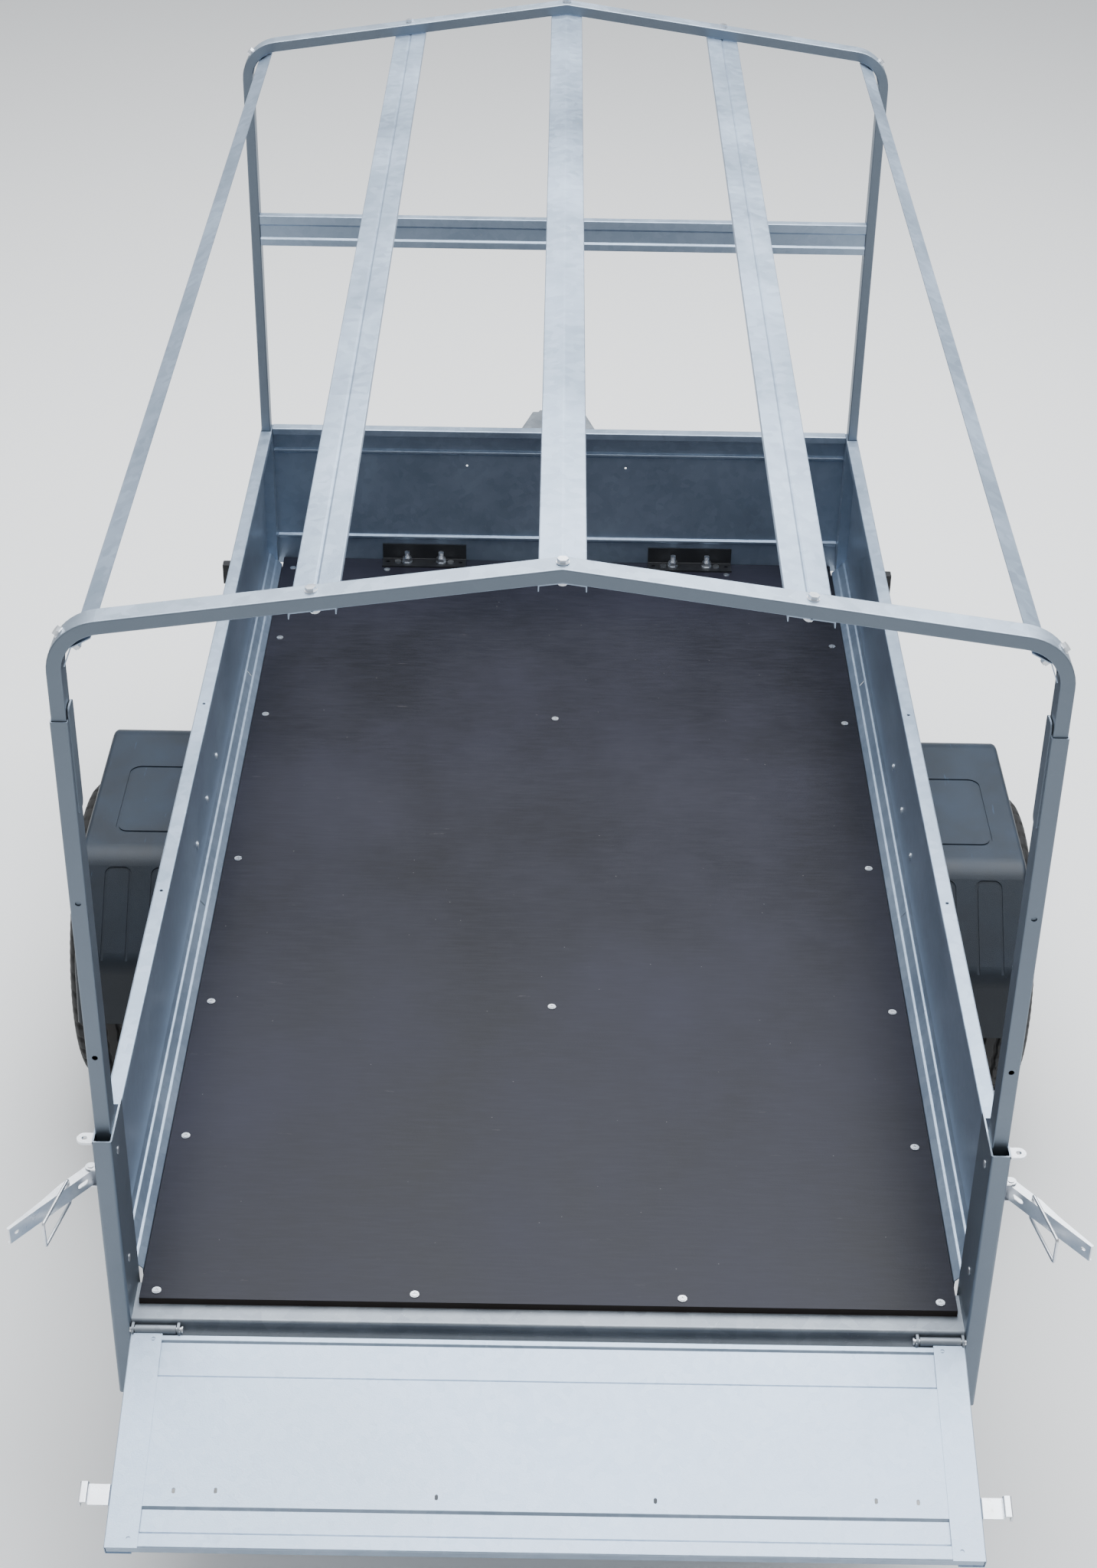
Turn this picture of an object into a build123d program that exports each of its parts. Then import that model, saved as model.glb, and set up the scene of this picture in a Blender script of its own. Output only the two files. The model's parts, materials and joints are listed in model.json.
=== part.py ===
from build123d import *
from math import cos, hypot, pi, radians, sin, tan
import os

# Single-axle livestock trailer: plywood floor, folded steel walls, a tailgate lowered
# behind the box, and a bare frame of two hoops and five slats for a cover.
# Millimetres. +X is right, +Y points to the coupling, +Z is up. The origin is on the
# ground, under the middle of the trailer's length.

# ---------------------------------------------------------------- driving dimensions
floor_width = 1250.0
floor_length = 2352.0
floor_thickness = 12.0
deck_height = 490.0  # floor surface above the ground
wall_height = 335.0  # top rail above the floor surface
wall_sheet = 1.5
rail_width = 25.0  # inward fold along the top of each wall
rail_lip = 14.0
ledge_height = 40.0  # stepped sill between the floor's edge and the wall
ledge_base = 10.0  # from the floor's edge to the inner face of a rear post
screw_inset = 25.0  # floor screws from the floor's long edges
screw_end_inset = 16.0  # floor screws from the floor's short edges
rear_bay = 708.0  # rear screw row to the first middle crossmember
front_bay = 626.0  # front screw row to the second middle crossmember

post_sheet = 2.5
post_depth = 98.0  # rear post, along the trailer
post_height = 347.0  # above the floor surface
post_drop = 165.0  # below the floor surface
post_setback = 38.0  # from the floor's rear edge to the back of the rear posts
sleeve_width = 23.5
sleeve_depth = 40.0
sleeve_wall = 1.5
sleeve_height = 1050.0  # above the floor surface
slip = 0.25  # clearance on each side of a piece that slides into another

ridge_height = 1286.0  # top of the hoops above the floor surface
roof_pitch = 8.3
hoop_depth = 35.0  # hoop tube, along the trailer
hoop_wall = 2.0
shoulder_bend = 68.0  # middle line of the hoop's bend
ridge_bend = 14.0
hoop_insertion = 300.0  # hoop leg inside its sleeve
slat_width = 60.0
slat_sheet = 1.5
slat_lip = 8.0
slat_spacing = 314.0
corner_slat_face = 30.0
crossbar_height = 66.0
crossbar_level = 766.0  # its lower edge above the floor surface

frame_depth = 50.0  # crossmembers and side sills
frame_sheet = 3.0
sill_width = 40.0
crossmember_width = 50.0

drawbar_spread = 303.0  # drawbar arm from the centre line, at its U-bolt
drawbar_angle = 15.6
drawbar_reach = 1080.0  # front wall to the tip of the coupling
arm_width = 55.0
arm_height = 50.0
arm_wall = 3.0
nose_width = 60.0
u_bolt_rod = 12.0
u_bolt_pitch = 77.0
bracket_length = 190.0
bracket_leg = 40.0
bracket_sheet = 4.0

wheel_radius = 289.0
tyre_width = 158.0
wheel_clearance = 82.5  # side wall to the tyre
axle_station = 1199.0  # wheel axis ahead of the floor's rear edge
rim_radius = 165.0
hub_face_offset = 30.0  # rim's seat outboard of the tyre's middle
bolt_circle = 100.0
axle_tube = 60.0
axle_wall = 5.0
swing_arm = 150.0
swing_arm_drop = 56.0

fender_level = 132.0  # flat top above the floor surface
fender_flat = 420.0
fender_width = 202.5  # side wall to the fender's outer edge
fender_sheet = 4.0
fender_skirt = 22.0  # lip along the outer edge, clear of the raised tyre
fender_leg = 40.0  # flange that is bolted to the wall

tailgate_length = 346.0
tailgate_droop = 16.4  # degrees below level when lowered
tailgate_depth = 20.0
tailgate_gap = 4.0  # behind the rear posts
hinge_drop = 24.0  # hinge line below the floor surface
hinge_pin = 8.0
end_cap_width = 48.0
hook_station = 265.0  # middle of a hook from the hinge line
hook_width = 32.0

latch_pivot_offset = 16.0  # outboard of the rear post
latch_pivot_station = 10.0  # ahead of the floor's rear edge
latch_length = 165.0
latch_swing = 142.0
latch_bail_pivot = 45.0  # from the lever's pivot to the bail's
latch_bail_rod = 5.0
latch_web = 28.0

socket_radius = 25.4
running = 0.05  # radial clearance of a pin in its hole
seat_gap = 0.3  # between pieces of different bodies at rest

# ---------------------------------------------------------------- worked-out levels
half_floor = floor_width / 2
post_inner = half_floor + ledge_base - 2
post_outer = post_inner + 2 * post_sheet + sleeve_width + 2 * slip
wall_outer = post_outer - post_sheet
wall_inner = wall_outer - wall_sheet
wheel_offset = wall_outer + wheel_clearance + tyre_width / 2  # middle of the tyre from the centre line
fender_outer = wall_outer + fender_width
hoop_leg_x = post_inner + post_sheet + slip + sleeve_width / 2
hoop_tube = sleeve_width - 2 * (sleeve_wall + slip)

droop = radians(tailgate_droop)
cap_sheet = 1.2
tail_reach = (
    post_setback + tailgate_gap + tailgate_length * cos(droop) + cap_sheet * sin(droop)
)
edge_gap = 1.0  # floor board's long edges to the side walls
front_gap = 3.0  # floor board's front edge to the outside of the front wall
total_length = tail_reach + floor_length + front_gap + drawbar_reach
rear_y = tail_reach - total_length / 2  # floor board's rear edge
front_y = rear_y + floor_length + front_gap  # outside of the front wall
post_rear_y = rear_y - post_setback
post_front_y = post_rear_y + post_depth
hinge_y = post_rear_y - tailgate_gap
axle_y = rear_y + axle_station

deck = deck_height
under_deck = deck - floor_thickness
frame_bottom = under_deck - frame_depth
wall_top = deck + wall_height
post_top = deck + post_height
arm_top = frame_bottom
arm_bottom = arm_top - arm_height
hinge_z = deck - hinge_drop

screw_x = half_floor - screw_inset
rear_row = rear_y + screw_end_inset
front_row = rear_y + floor_length - bracket_leg - 10
mid_rows = (rear_row + rear_bay, front_row - front_bay)
flange_inner = screw_x - 15
sleeve_y = rear_y - 1
front_hoop_y = front_y - wall_sheet - sleeve_wall - slip - hoop_depth / 2
corner_y = front_hoop_y - hoop_depth / 2 - slip - sleeve_wall  # back of the front corner posts

sides = (-1, 1)


# ---------------------------------------------------------------- shared shapes
def across(y):
    """Plane across the trailer, seen from behind: x is X, y is Z, normal is -Y."""
    return Plane.XZ.offset(-y)


def beside(x):
    """Plane along the trailer: x is Y, y is Z, normal is +X."""
    return Plane.YZ.offset(x)


def level(z):
    return Plane.XY.offset(z)


def block(x, y, z, mode=Mode.ADD):
    """Box between two corners, each of x, y and z given as (low, high)."""
    with Locations(((x[0] + x[1]) / 2, (y[0] + y[1]) / 2, (z[0] + z[1]) / 2)):
        Box(x[1] - x[0], y[1] - y[0], z[1] - z[0], mode=mode)


def fold(plane, points, gauge, length, bend=2.0, mode=Mode.ADD):
    """Sheet folded along its middle line, carried along the plane's normal."""
    with BuildSketch(plane) as section:
        with BuildLine():
            FilletPolyline(*points, radius=bend)
        trace(line_width=gauge)
    extrude(section.sketch, amount=length, mode=mode)


def slab(plane, points, thickness, mode=Mode.ADD):
    """Flat plate with a straight-sided outline."""
    with BuildSketch(plane) as outline:
        with BuildLine():
            Polyline(*points, close=True)
        make_face()
    extrude(outline.sketch, amount=thickness, mode=mode)


def rod(plane, radius, length, mode=Mode.ADD):
    """Round bar that stands on the plane's origin."""
    with BuildSketch(plane) as end:
        Circle(radius)
    extrude(end.sketch, amount=length, mode=mode)


def pipe(plane, outer, inner, length):
    with BuildSketch(plane) as end:
        Circle(outer)
        Circle(inner, mode=Mode.SUBTRACT)
    extrude(end.sketch, amount=length)


def at(x, y, z, normal, x_dir=None):
    """Plane at a point, facing along normal."""
    return Plane(origin=(x, y, z), x_dir=x_dir, z_dir=normal)


def hexagon(plane, flats, height, mode=Mode.ADD):
    with BuildSketch(plane) as outline:
        RegularPolygon(flats / 2, 6, major_radius=False)
    extrude(outline.sketch, amount=height, mode=mode)


def hex_bolt(seat, size, grip, nut=True):
    """Bolt whose head stands on the seat plane and whose shank runs back through grip."""
    head = 0.6 * size
    nut_height = 0.8 * size
    hexagon(seat, 1.6 * size, head)
    rod(seat, size / 2, -(grip + (nut_height + 2 if nut else 0)))
    if nut:
        hexagon(seat.offset(-grip), 1.6 * size, -nut_height)


def offset_line(points, distance):
    """Parallel polyline, distance to the right of the way the points run."""
    normals = []
    for (x0, y0), (x1, y1) in zip(points, points[1:]):
        run = hypot(x1 - x0, y1 - y0)
        normals.append(((y1 - y0) / run, -(x1 - x0) / run))
    moved = []
    for i, (x, y) in enumerate(points):
        before = normals[max(i - 1, 0)]
        after = normals[min(i, len(normals) - 1)]
        share = 1 + before[0] * after[0] + before[1] * after[1]
        moved.append(
            (
                x + distance * (before[0] + after[0]) / share,
                y + distance * (before[1] + after[1]) / share,
            )
        )
    return moved


def save(piece, name):
    """Label a finished piece and write it."""
    piece.part.label = name
    export_step(piece.part, f"parts/{name}.step")


def save_pair(piece, name):
    """Write a right-hand piece and its left-hand twin."""
    save(piece, f"right_{name}")
    with BuildPart() as twin:
        mirror(piece.part, about=Plane.YZ)
    save(twin, f"left_{name}")


os.makedirs("parts", exist_ok=True)

# ---------------------------------------------------------------- floor
side_rows = [rear_row, mid_rows[0], axle_y - 40, mid_rows[1], front_row]
side_rows.append((rear_row + mid_rows[0]) / 2)
side_rows.append((mid_rows[1] + front_row) / 2)
screw_points = [(side * screw_x, y) for side in sides for y in side_rows]
screw_points += [(side * 205.0, rear_row) for side in sides]
screw_points += [(side * 386.0, front_row) for side in sides]
screw_points += [(0.0, y) for y in mid_rows]
screw_shank = 3.0

u_bolt_y = front_y - wall_sheet - bracket_leg / 2
u_bolt_holes = [
    (side * drawbar_spread + end * u_bolt_pitch / 2, u_bolt_y) for side in sides for end in sides
]
bracket_screw_reach = 60.0
bracket_screws = [
    (side * drawbar_spread + end * bracket_screw_reach, u_bolt_y) for side in sides for end in sides
]


def drill(points, radius, top, bottom):
    """Straight holes down through whatever lies between two levels."""
    with BuildSketch(level(bottom)) as holes:
        with Locations(*points):
            Circle(radius)
    extrude(holes.sketch, amount=top - bottom, mode=Mode.SUBTRACT)


with BuildPart() as floor_board:
    block((-half_floor, half_floor), (rear_y, rear_y + floor_length), (under_deck, deck))
    drill(screw_points, screw_shank + slip, deck + 1, under_deck - 1)
    drill(u_bolt_holes, u_bolt_rod / 2 + slip, deck + 1, under_deck - 1)
    drill(bracket_screws, screw_shank + slip, deck + 1, under_deck - 1)
save(floor_board, "floor_board")

with BuildPart() as floor_screws:
    for low, rise, radius in (
        (deck, 1.4, 7.0),
        (deck + 1.4, 0.9, 5.2),
        (deck - floor_thickness - 9, floor_thickness + 9, screw_shank),
    ):
        with BuildSketch(level(low)) as discs:
            with Locations(*screw_points):
                Circle(radius)
        extrude(discs.sketch, amount=rise)
    with BuildSketch(level(deck + 0.8)) as slots:
        with Locations(*screw_points):
            Rectangle(6.0, 1.3)
            Rectangle(1.3, 6.0)
    extrude(slots.sketch, amount=2, mode=Mode.SUBTRACT)
save(floor_screws, "floor_screws")

# ---------------------------------------------------------------- walls
flange_z = under_deck - wall_sheet / 2
wall_mid = wall_outer - wall_sheet / 2
edge_x = half_floor + edge_gap + wall_sheet / 2
rail_inner = wall_outer - rail_width + wall_sheet / 2
rail_z = wall_top - wall_sheet / 2
ledge_run = wall_mid - edge_x
side_section = [
    (flange_inner + wall_sheet, flange_z),
    (edge_x, flange_z),
    (edge_x, deck + 3),
    (edge_x + 0.30 * ledge_run, deck + 0.34 * ledge_height),
    (edge_x + 0.43 * ledge_run, deck + 0.36 * ledge_height),
    (edge_x + 0.74 * ledge_run, deck + 0.72 * ledge_height),
    (edge_x + 0.86 * ledge_run, deck + 0.74 * ledge_height),
    (wall_mid, deck + ledge_height),
    (wall_mid, rail_z),
    (rail_inner, rail_z),
    (rail_inner, wall_top - rail_lip),
]
fender_bolt_rows = (axle_y - 150, axle_y, axle_y + 150)
fender_bolt_z = deck + fender_level - 24
rail_hole_rows = (axle_y - 22, axle_y - 605)
ledge_slot_rows = (axle_y - 215, front_row - 500)

with BuildPart() as side_panel:
    fold(across(post_front_y), side_section, wall_sheet, -(front_y - wall_sheet - post_front_y), 1.6)
    block(  # room for the front corner post and the hoop leg in it
        (edge_x - 3, wall_inner),
        (corner_y - 0.5, front_y),
        (under_deck + 0.5, wall_top + 1),
        mode=Mode.SUBTRACT,
    )
    with BuildSketch(across(post_front_y - 40)) as tongue:
        with Locations((wall_mid, (deck + ledge_height + wall_top - rail_lip) / 2)):
            Rectangle(wall_sheet, wall_height - ledge_height - rail_lip - 4)
    extrude(tongue.sketch, amount=-41)
    for y in rail_hole_rows:
        rod(at(wall_outer - rail_width / 2, y, wall_top + 1, (0, 0, -1)), 3, 6, mode=Mode.SUBTRACT)
    for y in ledge_slot_rows:
        block(
            (edge_x + 0.45 * ledge_run, edge_x + 0.72 * ledge_run),
            (y - 2, y + 2),
            (deck + 5, deck + ledge_height),
            mode=Mode.SUBTRACT,
        )
    drill(screw_points, screw_shank + slip, under_deck + 1, under_deck - 4)
    for y in fender_bolt_rows:
        rod(at(wall_inner - 3, y, fender_bolt_z, (1, 0, 0)), 4.2, 8, mode=Mode.SUBTRACT)
save_pair(side_panel, "side_panel")

front_sheet_y = front_y - wall_sheet / 2
bead_depth = 6.0
upper_bead = deck + wall_height - 60
lower_bead = deck + 61


def bead(z):
    """Pressed rib: a flat top edge and a slope below it, standing into the box."""
    return [
        (front_sheet_y, z - 10),
        (front_sheet_y - bead_depth, z - 4),
        (front_sheet_y - bead_depth, z),
        (front_sheet_y, z + 2.5),
    ]


front_section = [
    (front_sheet_y - 50, flange_z),
    (front_sheet_y, flange_z),
    *bead(lower_bead),
    *bead(upper_bead),
    (front_sheet_y, rail_z),
    (front_sheet_y - rail_width + wall_sheet, rail_z),
    (front_sheet_y - rail_width + wall_sheet, wall_top - rail_lip),
]
rail_half = wall_outer - rail_width - 0.3
with BuildPart() as front_panel:
    fold(beside(-rail_half), front_section, wall_sheet, 2 * rail_half, 1.2)
    block(  # the flange under the floor stops between the side walls' flanges
        (flange_inner, rail_half + 1),
        (front_y - 60, front_y - wall_sheet),
        (under_deck - 3, under_deck + 1),
        mode=Mode.SUBTRACT,
    )
    block(
        (-rail_half - 1, -flange_inner),
        (front_y - 60, front_y - wall_sheet),
        (under_deck - 3, under_deck + 1),
        mode=Mode.SUBTRACT,
    )
    for side in sides:
        ends = sorted((side * (rail_half - 1), side * wall_outer))
        block(ends, (front_y - wall_sheet, front_y), (under_deck - wall_sheet, wall_top - 2))
    drill(screw_points, screw_shank + slip, under_deck + 1, under_deck - 4)
    drill(u_bolt_holes, u_bolt_rod / 2 + slip, under_deck + 1, under_deck - 4)
    for x in (-205.0, 150.0):
        rod(at(x, front_y - 3, deck + 240, (0, 1, 0)), 2.4, 6, mode=Mode.SUBTRACT)
save(front_panel, "front_panel")

# ---------------------------------------------------------------- corner posts
post_bottom = deck - post_drop
rivet_levels = (deck + 85, deck + 300)
rivet_radius = 4.0
post_middle_x = (post_inner + post_sheet / 2, post_outer - post_sheet / 2)
inner_leg_y = post_front_y
outer_leg_y = post_front_y + 32
with BuildPart() as rear_posts:
    fold(
        level(post_bottom),
        [
            (post_middle_x[0], inner_leg_y - 0.3),
            (post_middle_x[0], post_rear_y + post_sheet / 2),
            (post_middle_x[1], post_rear_y + post_sheet / 2),
            (post_middle_x[1], outer_leg_y),
        ],
        post_sheet,
        post_top - post_bottom,
        3.0,
    )
    for z in rivet_levels:
        rod(at(post_inner - 1, sleeve_y, z, (1, 0, 0)), rivet_radius + 0.1, 40, mode=Mode.SUBTRACT)
    mirror(about=Plane.YZ)
save(rear_posts, "rear_posts")

sleeve_top = deck + sleeve_height
strip_x = hoop_leg_x - sleeve_width / 2
with BuildPart() as hoop_sleeves:
    with BuildSketch(level(deck + 20)) as tube:
        with Locations((hoop_leg_x, sleeve_y)):
            RectangleRounded(sleeve_width, sleeve_depth, 2.5)
            RectangleRounded(
                sleeve_width - 2 * sleeve_wall, sleeve_depth - 2 * sleeve_wall, 1.0, mode=Mode.SUBTRACT
            )
    extrude(tube.sketch, amount=sleeve_height - 20)
    with BuildSketch(beside(strip_x - 2.2)) as strip:
        with Locations((sleeve_y + 2, sleeve_top - 66)):
            RectangleRounded(30, 166, 8)
    extrude(strip.sketch, amount=2.2)
    for z in (sleeve_top - 290, sleeve_top - 560):
        rod(at(hoop_leg_x, sleeve_y - 25, z, (0, 1, 0)), 4.2, 12, mode=Mode.SUBTRACT)
    for z in rivet_levels:
        rod(at(strip_x - 1, sleeve_y, z, (1, 0, 0)), rivet_radius + 0.1, 30, mode=Mode.SUBTRACT)
    mirror(about=Plane.YZ)
save(hoop_sleeves, "hoop_sleeves")

with BuildPart() as post_rivets:
    for z in rivet_levels:
        outer_face = at(post_outer, sleeve_y, z, (1, 0, 0))
        rod(outer_face, 7.5, 2.0)
        rod(outer_face, rivet_radius, -(post_outer - post_inner))
        rod(at(post_inner, sleeve_y, z, (-1, 0, 0)), 6.5, 1.2)
    mirror(about=Plane.YZ)
    fillet(post_rivets.edges().filter_by(GeomType.CIRCLE).group_by(Axis.X)[-1], 1.2)
    fillet(post_rivets.edges().filter_by(GeomType.CIRCLE).group_by(Axis.X)[0], 1.2)
save(post_rivets, "post_rivets")

corner_post_width = hoop_tube + 2 * (slip + sleeve_wall)
with BuildPart() as front_corner_posts:
    with BuildSketch(level(deck)) as tube:
        with Locations((hoop_leg_x, front_hoop_y)):
            Rectangle(corner_post_width, hoop_depth + 2 * (slip + sleeve_wall))
            Rectangle(hoop_tube + 2 * slip, hoop_depth + 2 * slip, mode=Mode.SUBTRACT)
        with Locations((wall_inner + 10, front_hoop_y)):  # open to the wall
            Rectangle(20, 2 * hoop_depth, mode=Mode.SUBTRACT)
    extrude(tube.sketch, amount=wall_height - 2)
    for z in (deck + 95, deck + 190, deck + 270):
        with BuildSketch(beside(strip_x - 2)) as slot:
            with Locations((front_hoop_y - 4, z)):
                SlotOverall(16, 7, rotation=90)
        extrude(slot.sketch, amount=5, mode=Mode.SUBTRACT)
    mirror(about=Plane.YZ)
save(front_corner_posts, "front_corner_posts")

# ---------------------------------------------------------------- hoops and slats
pitch = tan(radians(roof_pitch))
ridge_mid = deck + ridge_height - hoop_tube / 2 / cos(radians(roof_pitch))
shoulder_mid = ridge_mid - hoop_leg_x * pitch


def hoop_line(foot):
    return [
        (-hoop_leg_x, foot),
        (-hoop_leg_x, shoulder_mid),
        (0, ridge_mid),
        (hoop_leg_x, shoulder_mid),
        (hoop_leg_x, foot),
    ]


# The bend's centre lies inside the corner, at the bend's radius from both straight lines.
bend_centre_x = hoop_leg_x - shoulder_bend
bend_centre_z = ridge_mid - bend_centre_x * pitch - shoulder_bend / cos(radians(roof_pitch))
bend_angle = radians((90 - roof_pitch) / 2)  # direction of the bend's middle, above level


def bend_point(radius):
    """Point on the middle of the right-hand bend, at a radius from the bend's centre."""
    return (bend_centre_x + radius * cos(bend_angle), bend_centre_z + radius * sin(bend_angle))


def hoop_bolt_seats(y, spare):
    """Planes on top of a hoop, spare above it, where its five bolts stand."""
    seats = [at(0, y, ridge_mid + hoop_tube / 2 / cos(radians(roof_pitch)) + spare, (0, 0, 1))]
    lean = radians(roof_pitch)
    corner_x, corner_z = bend_point(shoulder_bend + hoop_tube / 2 + spare)
    for side in sides:
        z = ridge_mid - slat_spacing * pitch
        rise = hoop_tube / 2 + spare
        seats.append(
            at(
                side * (slat_spacing + rise * sin(lean)),
                y,
                z + rise * cos(lean),
                (side * sin(lean), 0, cos(lean)),
            )
        )
        seats.append(
            at(side * corner_x, y, corner_z, (side * cos(bend_angle), 0, sin(bend_angle)))
        )
    return seats


bolt_size = 8.0
bolt_hole = bolt_size / 2 + 0.15
hoops = (("rear_hoop", sleeve_y, sleeve_top - hoop_insertion), ("front_hoop", front_hoop_y, deck + 60))
for name, y, foot in hoops:
    with BuildPart() as hoop:
        fold(
            across(y - hoop_depth / 2),
            hoop_line(foot),
            hoop_tube,
            -hoop_depth,
            (shoulder_bend, ridge_bend, shoulder_bend),
        )
        fillet(hoop.edges().filter_by(lambda e: abs(e.center().Y - y) > hoop_depth / 2 - 1), 2.0)
        fold(
            across(y - hoop_depth / 2 + hoop_wall),
            hoop_line(foot - 1),
            hoop_tube - 2 * hoop_wall,
            -(hoop_depth - 2 * hoop_wall),
            (shoulder_bend, ridge_bend, shoulder_bend),
            Mode.SUBTRACT,
        )
        for seat in hoop_bolt_seats(y, 0):
            rod(seat.offset(3), bolt_hole, -(hoop_tube + 8), mode=Mode.SUBTRACT)
    save(hoop, name)

slat_start = sleeve_y - hoop_depth / 2 + 2
slat_run = front_hoop_y + hoop_depth / 2 - 2 - slat_start
slat_half = slat_width / 2
slat_drop = (hoop_tube / 2 + slat_sheet / 2) / cos(radians(roof_pitch))


def slat_section(x):
    """Creased strip with two lips that follows the underside of the hoop at x."""

    def under(dx):
        return ridge_mid - abs(x + dx) * pitch - slat_drop

    crease = [(x - 3, under(-3)), (x, under(0) - 1.6), (x + 3, under(3))]
    return [
        (x - slat_half, under(-slat_half) - slat_lip),
        (x - slat_half, under(-slat_half)),
        *(crease if x else [(0, under(0))]),
        (x + slat_half, under(slat_half)),
        (x + slat_half, under(slat_half) - slat_lip),
    ]


with BuildPart() as roof_slats:
    for x in (-slat_spacing, slat_spacing):
        fold(across(slat_start), slat_section(x), slat_sheet, -slat_run, 0.9)
    fold(across(slat_start), slat_section(0), slat_sheet, -slat_run, (0.9, ridge_bend, 0.9))
    for y in (sleeve_y, front_hoop_y):
        for seat in hoop_bolt_seats(y, 0):
            rod(seat, bolt_hole, -(hoop_tube + 8), mode=Mode.SUBTRACT)
save(roof_slats, "roof_slats")

# A corner slat is folded more sharply than the bend's inner face, so it touches at its crease.
corner_fold = radians(20)
crease = bend_point(shoulder_bend - hoop_tube / 2 - slat_sheet / 2 - seat_gap)
corner_section = [crease]
for turn in (1, -1):
    along = bend_angle + turn * (radians(90) + corner_fold)
    end = (
        crease[0] + corner_slat_face * cos(along),
        crease[1] + corner_slat_face * sin(along),
    )
    corner_section.insert(0 if turn == 1 else 2, end)
with BuildPart() as corner_slats:
    fold(across(slat_start), corner_section, slat_sheet, -slat_run, 1.2)
    mirror(about=Plane.YZ)
    for y in (sleeve_y, front_hoop_y):
        for seat in hoop_bolt_seats(y, 0):
            rod(seat, bolt_hole, -(hoop_tube + 8), mode=Mode.SUBTRACT)
save(corner_slats, "corner_slats")

bar_low = deck + crossbar_level
bar_top = bar_low + crossbar_height
bar_y = front_hoop_y - hoop_depth / 2 + slat_sheet / 2
with BuildPart() as front_crossbar:
    half_bar = hoop_leg_x - hoop_tube / 2 - 0.1
    fold(
        beside(-half_bar),
        [
            (bar_y + 18, bar_low + 0.8),
            (bar_y, bar_low + 0.8),
            (bar_y, bar_low + 14),
            (bar_y + 4, bar_low + 18),
            (bar_y + 4, bar_top - 22),
            (bar_y, bar_top - 18),
            (bar_y, bar_top - 0.8),
            (bar_y + 18, bar_top - 0.8),
        ],
        wall_sheet,
        2 * half_bar,
        1.2,
    )
save(front_crossbar, "front_crossbar")

# ---------------------------------------------------------------- frame under the floor
half_sheet = frame_sheet / 2


def channel(y, width, top, opening):
    """Crossmember section: web on one long side, flanges reaching towards opening."""
    return [
        (y + opening * width, top - half_sheet),
        (y + half_sheet * opening, top - half_sheet),
        (y + half_sheet * opening, frame_bottom + half_sheet),
        (y + opening * width, frame_bottom + half_sheet),
    ]


rear_beam_y = rear_y - post_setback + 5
rear_beam_half = post_inner - slip

sill_inner = flange_inner
with BuildPart() as crossmembers:
    half_beam = sill_inner - slip
    for y in mid_rows:
        start = y - crossmember_width / 2
        fold(beside(-half_beam), channel(start, crossmember_width, under_deck, 1), frame_sheet,
             2 * half_beam, 3.0)
    start = front_y - wall_sheet
    fold(
        beside(-half_beam),
        channel(start, crossmember_width + 10, under_deck - wall_sheet, -1),
        frame_sheet,
        2 * half_beam,
        3.0,
    )
    drill(screw_points, screw_shank + slip, under_deck + 1, under_deck - 6)
    drill(u_bolt_holes, u_bolt_rod / 2 + slip, under_deck + 1, frame_bottom - 1)
save(crossmembers, "crossmembers")

sill_start = rear_beam_y + post_setback + 42
sill_end = front_y - wall_sheet
with BuildPart() as side_sills:
    fold(
        across(sill_start),
        [
            (sill_inner + sill_width, under_deck - wall_sheet - half_sheet),
            (sill_inner + half_sheet, under_deck - wall_sheet - half_sheet),
            (sill_inner + half_sheet, frame_bottom + half_sheet),
            (sill_inner + sill_width, frame_bottom + half_sheet),
            (sill_inner + sill_width, frame_bottom + 14),
        ],
        frame_sheet,
        -(sill_end - sill_start),
        3.0,
    )
    drill(screw_points, screw_shank + slip, under_deck + 1, under_deck - 8)
    mirror(about=Plane.YZ)
save(side_sills, "side_sills")

# ---------------------------------------------------------------- drawbar
lean = radians(drawbar_angle)
arm_centre_z = (arm_top + arm_bottom) / 2
nose_half = nose_width / 2
axle_z = wheel_radius + swing_arm_drop
axle_beam_y = axle_y + (swing_arm**2 - swing_arm_drop**2) ** 0.5
arm_rear_y = axle_beam_y - axle_tube / 2 - 45
nose_rear_y = front_y + drawbar_reach - 340
nose_front_y = front_y + drawbar_reach - 82
gusset_front_y = front_y + drawbar_reach - 160


def arm_x(y):
    """Middle line of the right drawbar arm."""
    return drawbar_spread + (u_bolt_y - y) * tan(lean)


pad_sheet = 6.0
pad_bolt = 12.0
pad_centre_y = axle_beam_y + 12
pad_bolt_points = [
    (side * arm_x(pad_centre_y + reach), pad_centre_y + reach) for side in sides for reach in (-62, 62)
]

with BuildPart() as drawbar_arms:
    arm_plane = Plane(
        origin=(arm_x(arm_rear_y), arm_rear_y, arm_centre_z),
        x_dir=(cos(lean), sin(lean), 0),
        z_dir=(-sin(lean), cos(lean), 0),
    )
    with BuildSketch(arm_plane) as tube:
        RectangleRounded(arm_width, arm_height, 5)
        RectangleRounded(arm_width - 2 * arm_wall, arm_height - 2 * arm_wall, 2.5, mode=Mode.SUBTRACT)
    extrude(tube.sketch, amount=(front_y + drawbar_reach - arm_rear_y) / cos(lean))
    block(
        (-200, nose_half + 0.1),
        (arm_rear_y - 100, front_y + drawbar_reach + 200),
        (arm_bottom - 5, arm_top + 5),
        mode=Mode.SUBTRACT,
    )
    block(
        (-200, 200),
        (gusset_front_y, front_y + drawbar_reach + 200),
        (arm_bottom - 5, arm_top + 5),
        mode=Mode.SUBTRACT,
    )
    mirror(about=Plane.YZ)
    drill(pad_bolt_points, pad_bolt / 2 + slip, arm_bottom + arm_wall + 1, arm_bottom - 1)
save(drawbar_arms, "drawbar_arms")

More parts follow.
